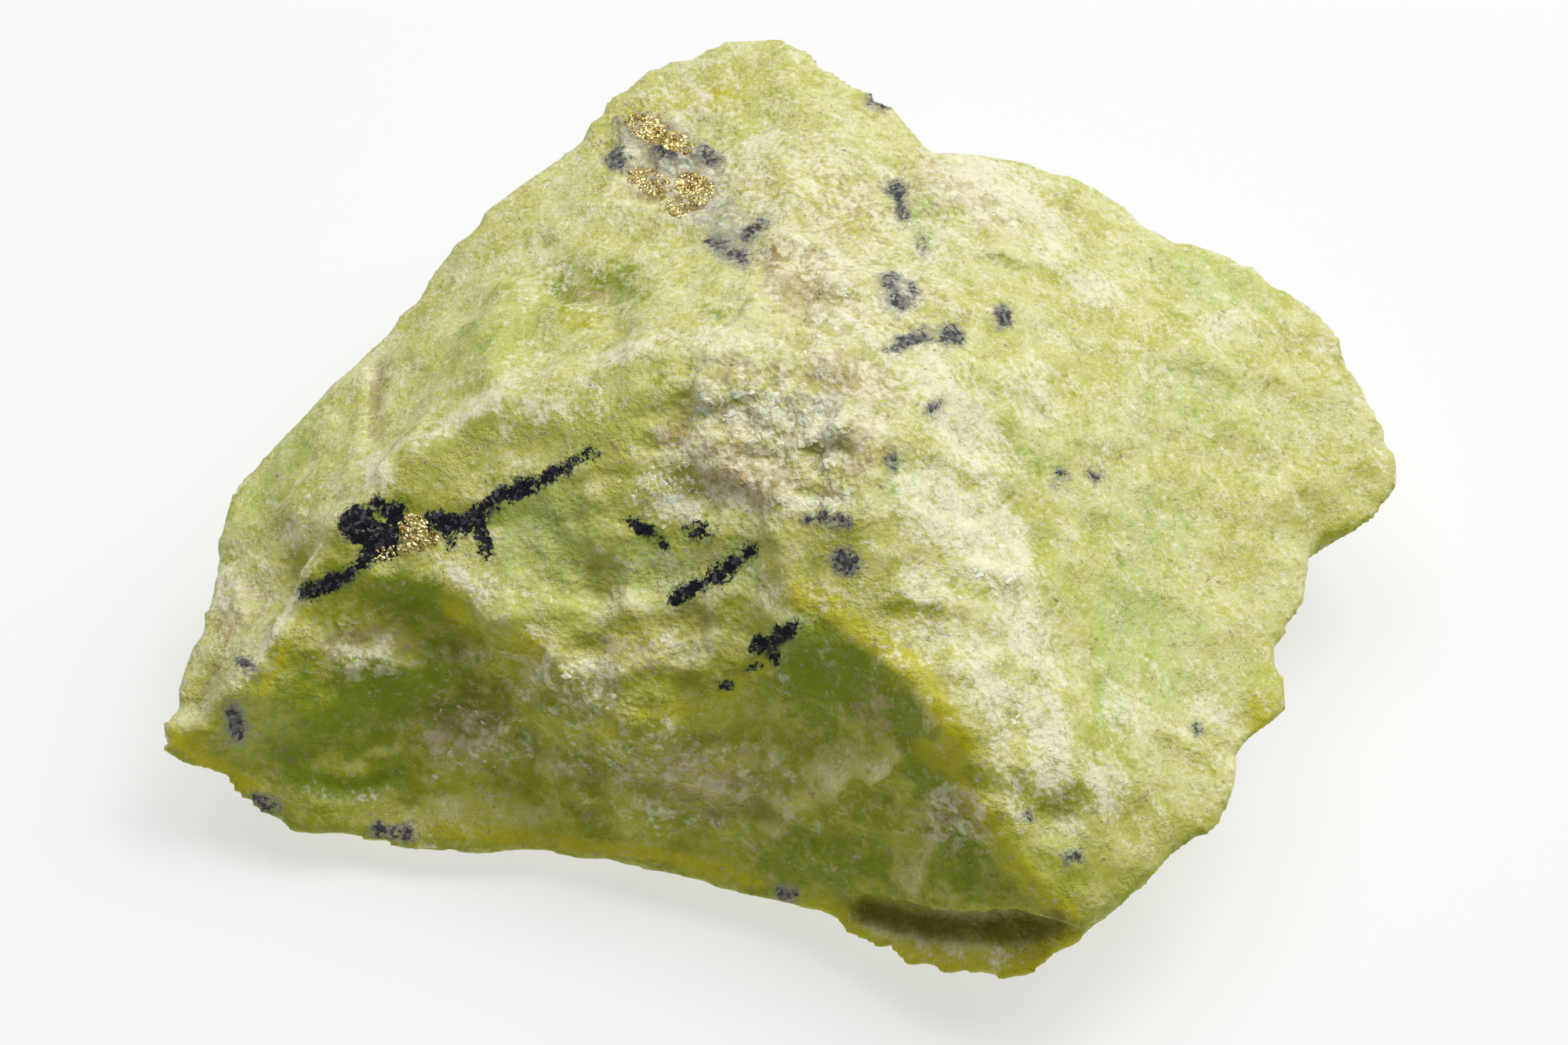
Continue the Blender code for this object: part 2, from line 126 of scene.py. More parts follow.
@dataclass(frozen=True)
class ViewPlane:
    """The plane through the stone's middle, square to the photograph's view, in millimetres."""

    rise: float = math.radians(55.0)
    distance: float = 320.0
    middle: Triple = (-0.12, -2.505, 11.6)
    focal_length: float = 144.0
    sensor_width: float = 36.0
    full_facing: float = 0.3

    def forward(self) -> np.ndarray:
        """The direction that the camera looks in."""
        return np.array((0.0, math.cos(self.rise), -math.sin(self.rise)))

    def upward(self) -> np.ndarray:
        """The direction that is up in the picture."""
        return np.array((0.0, math.sin(self.rise), math.cos(self.rise)))

    def eye(self) -> np.ndarray:
        """Where the camera stands."""
        return np.array(self.middle) - self.distance * self.forward()

    def spots(self, points: np.ndarray) -> np.ndarray:
        """Where points show in the plane.

        Args:
            points: Points of the stone, one a row.

        Returns:
            Across and up, one row for each point.
        """
        offset = points - np.array(self.middle)
        scale = self.distance / (self.distance + offset @ self.forward())
        return np.stack((offset[:, 0] * scale, (offset @ self.upward()) * scale), axis=1)

    def facing(self, normals: np.ndarray) -> np.ndarray:
        """0 where unit normals are turned away from the view, up to 1 where they are well in view."""
        return np.clip(-(normals @ self.forward()) / self.full_facing, 0.0, 1.0)

    def ray_to(self, across: float, up: float) -> tuple[Vector, Vector]:
        """The line of sight through a spot of the plane.

        Args:
            across: Millimetres to the right of the middle.
            up: Millimetres above the middle.

        Returns:
            The eye and the unit direction, in millimetres.
        """
        spot = np.array(self.middle) + np.array((across, 0.0, 0.0)) + up * self.upward()
        direction = spot - self.eye()
        return Vector(self.eye()), Vector(direction / np.linalg.norm(direction))


VIEW = ViewPlane()


def veins(*rows: tuple) -> tuple[Vein, ...]:
    """Veins from rows that each hold a half width and then the points."""
    return tuple(Vein(tuple(points), half_width) for half_width, *points in rows)


# Black ore veins and the blots beside them
ORE = veins(
    (0.26, (-24.4, -3.5), (-23.4, -3.2), (-22.4, -2.7), (-21.6, -2.1), (-20.8, -1.5)),
    (0.42, (-22.3, -0.2), (-21.7, -0.6), (-21.0, -1.2)), (0.62, (-21.6, 0.2), (-20.7, -0.3), (-20.1, -0.7)),
    (0.4, (-20.6, 0.9), (-20.2, 0.5), (-19.7, 0.8)), (0.5, (-20.9, -0.8), (-20.3, -1.3)),
    (0.4, (-20.0, 0.1), (-19.6, 0.0)), (0.45, (-17.9, 0.1), (-17.2, -0.1), (-16.4, 0.0), (-15.8, 0.3)),
    (0.33, (-16.0, 0.1), (-15.3, 0.8), (-14.3, 1.4), (-12.8, 2.0)),
    (0.22, (-13.2, 1.8), (-11.2, 2.8), (-9.8, 3.7)), (0.26, (-15.6, 0.1), (-15.3, -0.8), (-15.1, -1.4)),
    (0.22, (-17.3, -0.4), (-17.0, -1.1)), (0.16, (-7.8, 0.1), (-7.5, -0.1)),
    (0.3, (-7.3, -0.4), (-6.9, -0.5)), (0.12, (-6.2, -0.8), (-6.0, -1.1)),
    (0.3, (-5.0, -0.4), (-4.5, -0.5), (-4.0, -0.4)),
    (0.3, (-5.5, -3.9), (-4.8, -3.5), (-3.8, -3.0), (-3.0, -2.4)),
    (0.22, (-3.2, -2.6), (-2.2, -1.8), (-1.7, -1.5)),
    (0.33, (-1.1, -6.3), (-0.5, -6.0), (0.1, -5.6), (0.6, -5.3)), (0.16, (-0.7, -6.7), (-0.5, -6.9)),
    (0.07, (-1.8, -7.5), (-1.5, -7.3)), (0.14, (-3.2, -8.4), (-3.0, -8.3)),
)

# Purple-grey and green-black spots
SMOKE = veins(
    (0.14, (1.2, 0.1), (2.0, 0.2), (2.5, 0.3)), (0.24, (2.7, 0.2), (3.1, 0.0)),
    (0.42, (3.0, -1.8), (3.3, -2.2)), (0.26, (5.3, 12.3), (5.7, 11.9)), (0.24, (5.7, 11.3), (6.1, 11.0)),
    (0.1, (6.5, 12.0), (6.6, 11.8)), (0.24, (5.6, 8.8), (6.3, 9.4), (7.3, 9.6)),
    (0.36, (8.3, 9.5), (8.8, 9.5)), (0.3, (11.2, 10.6), (11.2, 10.3)), (0.16, (5.5, 3.2), (5.5, 2.9)),
    (0.12, (7.4, 5.9), (7.8, 5.9)), (0.32, (5.6, 17.2), (5.9, 16.6)), (0.14, (5.9, 16.0), (6.1, 15.5)),
    (0.14, (7.0, 14.2), (7.1, 14.0)), (0.42, (-8.5, 18.6), (-8.3, 18.2)),
    (0.28, (-3.9, 18.9), (-3.6, 18.5)), (0.2, (-6.3, 19.0), (-5.7, 18.8)),
    (0.28, (-2.0, 14.6), (-1.4, 15.0), (-1.0, 15.2)), (0.3, (-3.6, 14.3), (-2.8, 13.9), (-2.1, 13.4)),
    (0.16, (4.5, 21.7), (5.1, 21.3)), (0.26, (-27.7, -7.2), (-27.2, -7.4)),
    (0.36, (-28.1, -9.8), (-27.9, -10.8)), (0.3, (-26.8, -14.1), (-26.2, -14.5)),
    (0.25, (-20.8, -15.6), (-19.2, -15.8)), (0.26, (0.0, -18.8), (0.3, -18.9)),
    (0.13, (15.0, -17.0), (15.1, -17.1)), (0.06, (14.5, -17.2), (14.6, -17.2)),
    (0.06, (12.5, -14.9), (12.6, -15.0)), (0.07, (21.0, -10.4), (21.1, -10.6)),
    (0.07, (14.1, 2.5), (14.3, 2.4)), (0.05, (13.7, 1.8), (13.8, 1.7)), (0.06, (15.7, 2.5), (15.9, 2.4)),
)

# Oval patches of each tint: across, up, the two radii, the tilt in degrees and the strength
OVALS = {
    Tint.BLOOM: (
        # White bloom on the right face, in streaks that run down to the right
        (7.2, 7.6, 2.6, 1.5, -35, 0.8), (9.4, 4.6, 3.4, 1.7, -50, 1.0), (12.6, 6.6, 2.0, 1.4, -40, 0.7),
        (7.6, 1.0, 2.6, 1.8, -60, 1.0), (10.4, -1.2, 3.6, 1.8, -55, 1.0), (7.4, -4.0, 2.6, 1.6, -60, 0.8),
        (12.2, -5.4, 3.0, 1.5, -65, 0.9), (10.2, -8.2, 2.8, 1.2, -70, 0.8),
        (13.4, -10.4, 3.2, 1.2, -75, 0.8), (11.6, -13.6, 2.8, 0.8, -70, 0.9),
        (14.6, -14.4, 2.2, 0.8, -70, 0.6), (13.6, -13.2, 1.6, 1.2, -60, 1.3),
        (16.0, -13.4, 1.8, 1.6, -30, 0.9), (17.4, -9.6, 1.8, 1.0, -50, 0.6),
        (21.6, -9.8, 1.2, 0.9, -30, 0.7), (10.4, 17.2, 3.8, 1.7, -25, 1.0),
        (13.4, 14.4, 2.0, 1.2, -30, 0.6), (15.8, 11.8, 1.6, 1.0, -20, 0.9), (22.2, 10.0, 1.9, 0.7, 25, 0.8),
        (19.2, 7.4, 1.8, 0.8, -30, 0.4),
        # Along the upper crest and on the crumbled middle
        (-15.4, 6.1, 4.2, 0.6, 34, 0.8), (-8.2, 8.6, 1.8, 0.5, 20, 0.9), (-3.4, 9.4, 3.4, 0.7, -6, 0.6),
        (-12.2, 5.6, 3.4, 1.0, 25, 0.55), (-20.7, 2.4, 0.8, 1.2, 0, 1.0), (-1.2, 5.4, 3.2, 1.6, -12, 1.0),
        (2.2, 5.2, 1.0, 1.9, 0, 1.0), (-6.0, 1.2, 1.7, 1.4, 0, 1.0), (-4.2, 3.2, 1.5, 0.6, -20, 0.8),
        (-3.0, 1.9, 1.5, 1.0, -20, 0.9), (1.0, 1.0, 2.6, 0.4, 4, 1.0), (1.9, 8.5, 0.7, 1.0, 20, 0.9),
        (4.6, 6.4, 1.6, 1.8, 0, 0.7), (4.2, 10.2, 2.0, 1.2, -30, 0.6), (5.8, 11.4, 1.6, 1.4, 0, 0.8),
        (2.0, 13.2, 3.4, 1.4, -20, 0.6), (0.4, 15.4, 2.4, 1.1, 0, 0.6), (-1.0, 19.6, 1.0, 0.9, 0, 0.6),
        (-3.2, 18.4, 0.9, 0.6, 0, 0.5), (8.6, 14.0, 1.6, 1.2, 0, 0.5), (1.0, 17.0, 5.6, 3.2, -20, 0.4),
        (-5.0, 21.6, 3.0, 1.4, 20, 0.4), (6.0, 14.0, 3.6, 3.4, -30, 0.4),
        # Below the crest, on the nose and in the broken front
        (-16.2, -3.0, 1.9, 0.6, -42, 0.9), (-12.6, -5.8, 1.2, 0.6, -30, 0.6),
        (-10.4, -8.0, 2.2, 1.2, -20, 1.0), (-14.8, -10.4, 2.6, 1.6, -30, 0.7),
        (-16.6, -12.0, 2.0, 1.0, -20, 0.5), (-21.6, -6.4, 2.0, 1.2, 10, 0.6),
        (-5.6, -11.0, 3.0, 1.6, -10, 0.8), (-5.2, -15.2, 3.4, 1.1, -10, 0.7),
        (-9.6, -11.6, 2.6, 1.3, -10, 0.8), (-0.6, -12.6, 2.4, 1.2, 0, 0.45),
        (5.0, -8.8, 1.2, 0.8, -30, 0.5), (9.2, -15.2, 1.4, 0.9, 30, 0.6), (10.8, -22.2, 0.6, 0.9, 0, 0.8),
        (-6.2, -5.8, 1.4, 0.8, 0, 0.5), (-1.2, -4.0, 1.6, 0.8, 20, 0.4), (-28.6, -3.4, 0.8, 1.6, -25, 0.6),
        (-25.0, -0.8, 0.7, 1.6, -25, 0.5), (-11.8, 12.6, 3.0, 0.9, 30, 0.35),
    ),
    Tint.BROWN: (
        # Brown, iron-stained stone
        (-2.0, 2.6, 3.0, 1.5, -10, 1.0), (-5.4, 4.4, 1.4, 0.8, -15, 0.8), (-1.2, 1.4, 1.2, 0.9, 0, 1.0),
        (3.8, 7.4, 2.6, 1.3, -20, 0.9), (3.8, 3.8, 1.2, 1.8, 0, 0.7), (-2.8, 7.6, 1.5, 0.8, -10, 0.6),
        (1.2, 12.2, 3.0, 2.0, -30, 0.7), (-0.6, 13.6, 0.9, 1.1, 0, 0.9), (-2.0, 17.2, 4.0, 2.2, 0, 0.35),
        (1.2, 19.8, 1.0, 1.6, 0, 0.4), (8.6, 17.0, 4.0, 1.8, -25, 0.4), (14.0, 15.6, 3.0, 1.4, -35, 0.4),
        (6.4, 11.0, 1.8, 1.8, 0, 0.5), (3.4, 16.0, 3.4, 2.6, -20, 0.5), (-21.6, -6.2, 2.8, 1.4, 10, 0.6),
        (-16.4, -10.6, 2.6, 2.0, -20, 0.6), (-4.0, -13.0, 5.4, 2.0, -8, 0.55),
        (4.6, -9.6, 1.6, 1.6, 0, 0.5), (8.8, -14.8, 2.0, 1.6, 0, 0.5), (-9.8, 11.6, 1.6, 0.7, 0, 0.6),
        (-28.4, -4.6, 0.8, 1.8, -25, 0.5), (-26.6, -4.2, 0.6, 2.0, -28, 0.5),
        (-7.6, -6.6, 2.6, 1.2, 0, 0.5), (-8.5, 3.8, 0.25, 0.25, 0, 1.0), (4.8, 21.5, 0.9, 0.6, -30, 1.0),
    ),
    Tint.GREEN: (
        # Blue-green stone
        (-12.4, -0.4, 3.8, 2.8, 0, 0.8), (-6.4, -2.4, 2.8, 1.8, 0, 0.8), (-2.4, -2.2, 1.8, 1.4, 30, 0.7),
        (6.0, 2.0, 1.4, 1.6, 0, 0.7), (12.2, 3.6, 3.0, 2.0, -30, 0.5), (22.0, 12.2, 3.6, 1.2, -25, 0.7),
        (21.2, 6.6, 4.0, 2.2, -20, 0.5), (18.4, 0.0, 3.4, 2.2, -20, 0.55), (17.6, -4.4, 2.2, 2.6, 0, 0.9),
        (16.8, -8.2, 1.2, 2.8, 0, 0.8), (7.4, 15.4, 1.2, 1.8, 0, 0.8), (-25.2, 4.2, 1.4, 2.6, -35, 0.6),
        (-27.0, 1.2, 1.0, 2.6, -30, 0.5), (-14.8, 9.8, 2.4, 1.2, 30, 0.4), (0.2, -6.0, 1.6, 1.2, 20, 0.8),
        (14.6, -16.4, 1.8, 1.8, 0, 0.4), (19.0, -6.4, 3.0, 3.6, 0, 0.7),
    ),
    Tint.DEEP_GREEN_AND_SHADE: (
        # Painted shade on faces turned from the light, in deep waxy green
        (-20.6, -8.4, 3.0, 1.8, -20, 1.0), (-22.6, -9.6, 3.6, 3.4, 0, 0.8),
        (-24.6, -11.8, 2.6, 1.8, -15, 0.7), (-18.6, -3.6, 2.4, 1.2, -20, 0.9),
        (-17.2, -8.6, 2.2, 2.4, 0, 0.9), (2.4, -7.8, 3.4, 2.8, -30, 1.0), (2.6, -17.4, 3.8, 1.6, -10, 0.8),
        (9.4, -18.0, 2.6, 1.4, -10, 0.8), (-3.6, 10.6, 0.8, 0.7, 0, 0.6),
    ),
    Tint.AMBER_GLOW: (
        # Painted glow of light through thin, honey-coloured edges
        (-13.0, -6.4, 1.1, 1.1, 0, 1.0), (-16.6, -4.6, 1.4, 0.7, -45, 0.8), (-9.0, -10.8, 0.6, 0.9, 0, 1.0),
        (-30.4, -11.2, 1.2, 0.8, -20, 1.0), (24.4, -9.6, 0.8, 1.2, 0, 0.9),
        (7.6, -11.8, 1.2, 0.8, -20, 1.0), (-7.4, 20.6, 2.4, 0.9, 30, 0.5), (-3.6, 21.6, 2.0, 0.9, 0, 0.7),
        (-10.4, 10.4, 1.6, 0.7, 0, 0.5),
    ),
    Tint.LIME: (
        # Bright yellow-green stone, clean of bloom
        (-14.0, 9.6, 6.0, 2.6, 30, 0.8), (-16.4, 4.0, 4.0, 2.2, 30, 0.7), (-8.6, 5.6, 5.0, 2.6, 15, 0.9),
        (-25.6, 2.0, 2.0, 4.6, -30, 0.7), (-12.0, -3.6, 3.4, 2.0, -30, 0.8), (-9.6, -0.6, 4.0, 2.4, 0, 0.7),
        (16.0, -12.6, 2.6, 3.4, 0, 0.6), (-3.0, 19.6, 4.0, 1.6, 10, 0.6), (24.8, -8.0, 1.6, 3.0, 0, 0.8),
        # The first patch here is painted shadow along the small step in the right face
        (13.6, -2.0, 0.9, 3.6, 10, 0.8), (-26.6, -10.6, 2.6, 2.2, -20, 0.9),
        (-14.4, -4.6, 1.8, 1.2, -30, 1.0),
    ),
    Tint.HOLLOW_SHADE: (
        # Painted shade in hollows, dark honey-brown
        (-16.2, -8.8, 0.7, 0.5, 0, 0.7), (-15.2, -9.2, 1.8, 1.2, -30, 0.65),
    ),
    Tint.SLATE: (
        # Grey host rock around the sulphide and the spots
        (-6.6, 19.6, 2.4, 1.3, -10, 0.9), (-5.2, 18.2, 2.6, 1.6, -20, 1.0),
        (-3.8, 16.0, 2.6, 1.5, -35, 0.8), (-2.8, 14.2, 1.8, 1.2, -30, 0.8), (5.8, 11.7, 1.2, 1.3, 0, 0.9),
        (6.8, 9.3, 2.4, 0.7, 10, 0.5), (-28.0, -10.2, 0.9, 1.6, 0, 0.5),
    ),
    Tint.RUST: (
        # Rust between and beside the sulphide grains
        (-6.8, 17.3, 1.3, 0.9, -10, 1.0), (-5.2, 16.2, 1.2, 0.7, -30, 0.9), (-0.6, 13.6, 0.5, 0.7, 0, 0.6),
        (-9.0, 17.4, 0.5, 1.0, -20, 0.4), (-6.4, 19.8, 1.9, 0.9, -25, 0.9),
        (-4.6, 17.0, 1.3, 1.0, -15, 0.9), (-18.8, -0.6, 1.1, 0.8, 0, 0.8),
    ),
    Tint.ROUGH: (
        # Patches that broke into grains
        (-0.4, 4.4, 7.0, 5.2, -10, 1.0), (1.6, 11.8, 4.2, 3.6, -30, 0.9), (9.6, 16.4, 5.0, 2.4, -25, 0.7),
        (9.8, -1.0, 4.0, 6.0, 30, 0.45), (12.4, -10.8, 2.4, 5.0, 15, 0.45),
        (-5.6, 17.6, 4.2, 3.8, -30, 0.8), (-10.6, -8.4, 4.2, 2.4, -20, 0.7),
        (-16.2, -10.8, 3.6, 2.4, -20, 0.5), (-4.0, -13.4, 7.0, 2.6, -8, 0.6),
        (8.6, -15.2, 2.8, 2.2, 0, 0.7), (-21.8, -6.4, 3.0, 2.0, 0, 0.6), (-6.6, -4.0, 9.0, 5.0, -10, 0.5),
        (-26.0, -3.0, 3.0, 5.0, -30, 0.35),
    ),
}

PATCHES = tuple(
    Patch(tint, row[:2], row[2:4], tilt=row[4], strength=row[5])
    for tint, rows in OVALS.items()
    for row in rows
)

# Thin edges and seams of one tint
BANDS = (
    # Amber bands: painted glow of light through thin crests and edges
    Band(Tint.AMBER_GLOW, ((0.8, -3.4), (2.4, -4.2), (4.4, -5.8), (6.4, -7.2), (7.6, -8.6), (8.6, -10.4),
                      (9.0, -12.0)), 0.6, 1.0),
    # Painted shade on the crest's shaded side
    Band(Tint.DEEP_GREEN_AND_SHADE, ((1.6, -5.4), (3.6, -7.0), (5.2, -8.4), (6.4, -10.2), (7.2, -12.6), (8.6, -14.6),
                     (10.4, -17.0)), 0.9, 0.8),
    Band(Tint.AMBER_GLOW, ((8.6, -12.4), (9.8, -14.4), (11.2, -16.6), (12.6, -18.4), (14.4, -19.8)), 0.6, 0.7),
    Band(Tint.AMBER_GLOW, ((-30.6, -11.4), (-29.6, -12.2), (-28.2, -13.0), (-27.2, -13.6)), 0.45, 1.0),
    Band(Tint.AMBER_GLOW, ((-24.4, -4.4), (-25.6, -6.6), (-26.6, -8.6)), 0.28, 0.8),
    # A painted highlight along the crest, beside its painted glow
    Band(Tint.BLOOM, ((-24.8, -3.4), (-26.4, -6.2), (-28.0, -8.8)), 0.18, 0.8),
    Band(Tint.AMBER_GLOW, ((2.0, -20.0), (5.0, -22.0), (9.0, -22.8), (12.0, -22.8), (14.6, -21.6)), 0.8, 1.0),
    Band(Tint.AMBER_GLOW, ((-9.2, -10.2), (-6.4, -9.6), (-4.2, -9.2), (-2.2, -8.2), (-0.6, -6.6)), 0.4, 0.6),
    # A painted highlight along the ridge that runs down from the nose
    Band(Tint.BLOOM, ((-12.4, -7.4), (-13.1, -8.7), (-14.0, -10.3), (-15.6, -11.8), (-18.0, -13.0)),
         0.2, 0.9),
    Band(Tint.BROWN, ((-20.6, 7.9), (-20.9, 6.3), (-21.0, 4.4)), 0.25, 0.9),
    # Painted shade on the wall of the upper scoop, then on the small facets under the low left edge
    Band(Tint.DEEP_GREEN_AND_SHADE, ((-10.6, 11.9), (-8.6, 12.2)), 1.3, 0.7),
    Band(Tint.DEEP_GREEN_AND_SHADE, ((-24.6, -13.0), (-23.0, -13.5), (-21.4, -13.6), (-19.8, -13.0)), 0.6, 1.0),
    Band(Tint.AMBER_GLOW, ((-17.6, -15.7), (-12.0, -16.2), (-6.0, -17.0), (-1.4, -18.4)), 0.35, 0.8),
    # Painted shadow along the small step in the right face
    Band(Tint.LIME, ((12.0, 0.6), (14.2, -2.5), (16.2, -5.7), (15.9, -10.6)), 0.35, 1.0),
    Band(Tint.BROWN, ((-27.0, -3.0), (-28.6, -6.4), (-30.0, -9.4)), 0.16, 0.7),
    # Painted shade in the recess under the lip
    Band(Tint.HOLLOW_SHADE, ((4.2, -19.9), (7.0, -20.6), (11.0, -20.9), (13.8, -20.5)), 0.62, 0.95),
)

# How much of the hidden stone has each tint: the noise's value that it starts at
HIDDEN_FROM = {
    Tint.BLOOM: 0.05,
    Tint.BROWN: 0.25,
    Tint.GREEN: 0.15,
    Tint.DEEP_GREEN_AND_SHADE: 0.25,
    Tint.LIME: 0.0,
    Tint.ROUGH: 0.05,
    Tint.SLATE: 0.5,
}


def fall(distance: np.ndarray) -> np.ndarray:
    """1 at distance 0, falling smoothly to 0 at distance 1."""
    return np.clip(1.0 - distance * distance, 0.0, 1.0)


def smooth_step(values: np.ndarray, low: float, high: float) -> np.ndarray:
    """0 below low, 1 above high, and a smooth rise between them."""
    share = np.clip((values - low) / (high - low), 0.0, 1.0)
    return share * share * (3.0 - 2.0 * share)


def distance_to_run(spots: np.ndarray, points: tuple[tuple[float, ...], ...]) -> np.ndarray:
    """How far spots lie from a run of points.

    Args:
        spots: Places, one a row.
        points: The run's points, with as many numbers each as a spot.

    Returns:
        The distance of each spot.
    """
    best = np.full(len(spots), np.inf)
    for start, end in zip(points, points[1:]):
        start = np.array(start)
        along = np.array(end) - start
        part = np.clip((spots - start) @ along / (along @ along), 0.0, 1.0)
        best = np.minimum(best, np.linalg.norm(spots - start - part[:, None] * along, axis=1))
    return best


def waves(points: np.ndarray, size: float, octaves: int = 3, shift: float = 0.0) -> np.ndarray:
    """Smooth noise, about -1 to 1, over points in millimetres. Shifted patterns differ."""
    moved = Vector((shift, 0.0, 0.0))
    return np.array([noise.fractal(Vector(point) / size + moved, 1.0, 2.0, octaves) for point in points])


def within_solid(points: np.ndarray) -> np.ndarray:
    """Points in millimetres, kept inside the box of the stone's solid."""
    low, high = (np.array(corner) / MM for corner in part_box(NODE))
    return np.clip(points, low, high)


@dataclass(frozen=True)
class Marks:
    """Where the stone changes colour and grain, as numbers on its mesh's points."""

    patches: tuple[Patch, ...] = PATCHES
    bands: tuple[Band, ...] = BANDS
    ore: tuple[Vein, ...] = ORE
    smoke: tuple[Vein, ...] = SMOKE
    patch_margin: float = 1.25
    band_margin: float = 1.6
    far: float = 3.0
    hidden_size: float = 7.0
    hidden_shift: float = 11.0
    hidden_edge: float = 0.5

    def tint_weight(self, tint: Tint, spots: np.ndarray) -> np.ndarray:
        """How strongly one tint's patches and bands show at spots of the view plane.

        Args:
            tint: The tint.
            spots: Across and up, one row for each point.

        Returns:
            A weight for each spot, from 0 to 1.
        """
        weight = np.zeros(len(spots))
        for patch in self.patches:
            if patch.tint is not tint:
                continue
            turn = math.radians(patch.tilt)
            offset = spots - np.array(patch.middle)
            along = (offset[:, 0] * math.cos(turn) + offset[:, 1] * math.sin(turn)) / patch.radii[0]
            beside = (offset[:, 1] * math.cos(turn) - offset[:, 0] * math.sin(turn)) / patch.radii[1]
            weight = np.maximum(weight, patch.strength * fall(np.hypot(along, beside) / self.patch_margin))
        for band in self.bands:
            if band.tint is tint:
                away = distance_to_run(spots, band.points) / (self.band_margin * band.half_width)
                weight = np.maximum(weight, band.strength * fall(away))
        return weight

    def hidden_weight(self, tint: Tint, points: np.ndarray) -> np.ndarray:
        """The same tint's share where the photograph doesn't show the stone.

        Args:
            tint: The tint.
            points: Points in millimetres, one a row.

        Returns:
            A weight for each point, from 0 to 1.
        """
        if tint not in HIDDEN_FROM:
            return np.zeros(len(points))
        shift = self.hidden_shift * (1 + list(Tint).index(tint))
        pattern = waves(points, self.hidden_size, 4, shift)
        return smooth_step(pattern, HIDDEN_FROM[tint], HIDDEN_FROM[tint] + self.hidden_edge)

    def gap_to(self, veins: tuple[Vein, ...], spots: np.ndarray, facing: np.ndarray) -> np.ndarray:
        """Distance from a point to the edge of the nearest vein, negative inside it.

        Args:
            veins: The veins and spots.
            spots: Across and up, one row for each point.
            facing: How far each point faces the view.

        Returns:
            Millimetres, at most the far distance.
        """
        gap = np.full(len(spots), self.far)
        for vein in veins:
            gap = np.minimum(gap, distance_to_run(spots, vein.points) - vein.half_width)
        return np.where(facing > 0.0, gap, self.far)

    def write(self, mesh: bpy.types.Mesh) -> dict[Tint, np.ndarray]:
        """Put every mark, and how far the stone leans to the front, on the mesh for the finish.

        Args:
            mesh: The stone's mesh, in metres.

        Returns:
            Each tint's weight on each point.
        """
        points, normals = mesh_points(mesh)
        spots = VIEW.spots(points)
        facing = VIEW.facing(normals)
        weights = {}
        for tint in Tint:
            shown = self.tint_weight(tint, spots)
            weights[tint] = facing * shown + (1.0 - facing) * self.hidden_weight(tint, points)
            put_attribute(mesh, tint.value, weights[tint])
        # How far each point faces the front, which sets the painted shade
        put_attribute(mesh, "lean", np.clip(-normals[:, 1], 0.0, 1.0))
        put_attribute(mesh, "ore", self.gap_to(self.ore, spots, facing))
        put_attribute(mesh, "smoke", self.gap_to(self.smoke, spots, facing))
        return weights


def mesh_points(mesh: bpy.types.Mesh) -> tuple[np.ndarray, np.ndarray]:
    """A mesh's points in millimetres and their unit normals, one a row."""
    points = np.zeros(len(mesh.vertices) * 3)
    normals = np.zeros(len(mesh.vertices) * 3)
    mesh.vertices.foreach_get("co", points)
    mesh.vertices.foreach_get("normal", normals)
    return points.reshape(-1, 3) / MM, normals.reshape(-1, 3)


def placed(name: str, data: bpy.types.ID) -> bpy.types.Object:
    """A new object in the scene."""
    made = bpy.data.objects.new(name, data)
    bpy.context.scene.collection.objects.link(made)
    return made


def put_attribute(mesh: bpy.types.Mesh, name: str, values: np.ndarray) -> None:
    """Store one number for each point of a mesh."""
    attribute = mesh.attributes.new(name, "FLOAT", "POINT")
    attribute.data.foreach_set("value", values.astype(np.float32))


@dataclass(frozen=True)
class Pattern:
    """Noise: the size of its largest features in millimetres, how many finer sizes it has, how
    strong they are, and how far it is pulled about."""

    size: float
    detail: float = 4.0
    roughness: float = 0.55
    distortion: float = 0.0


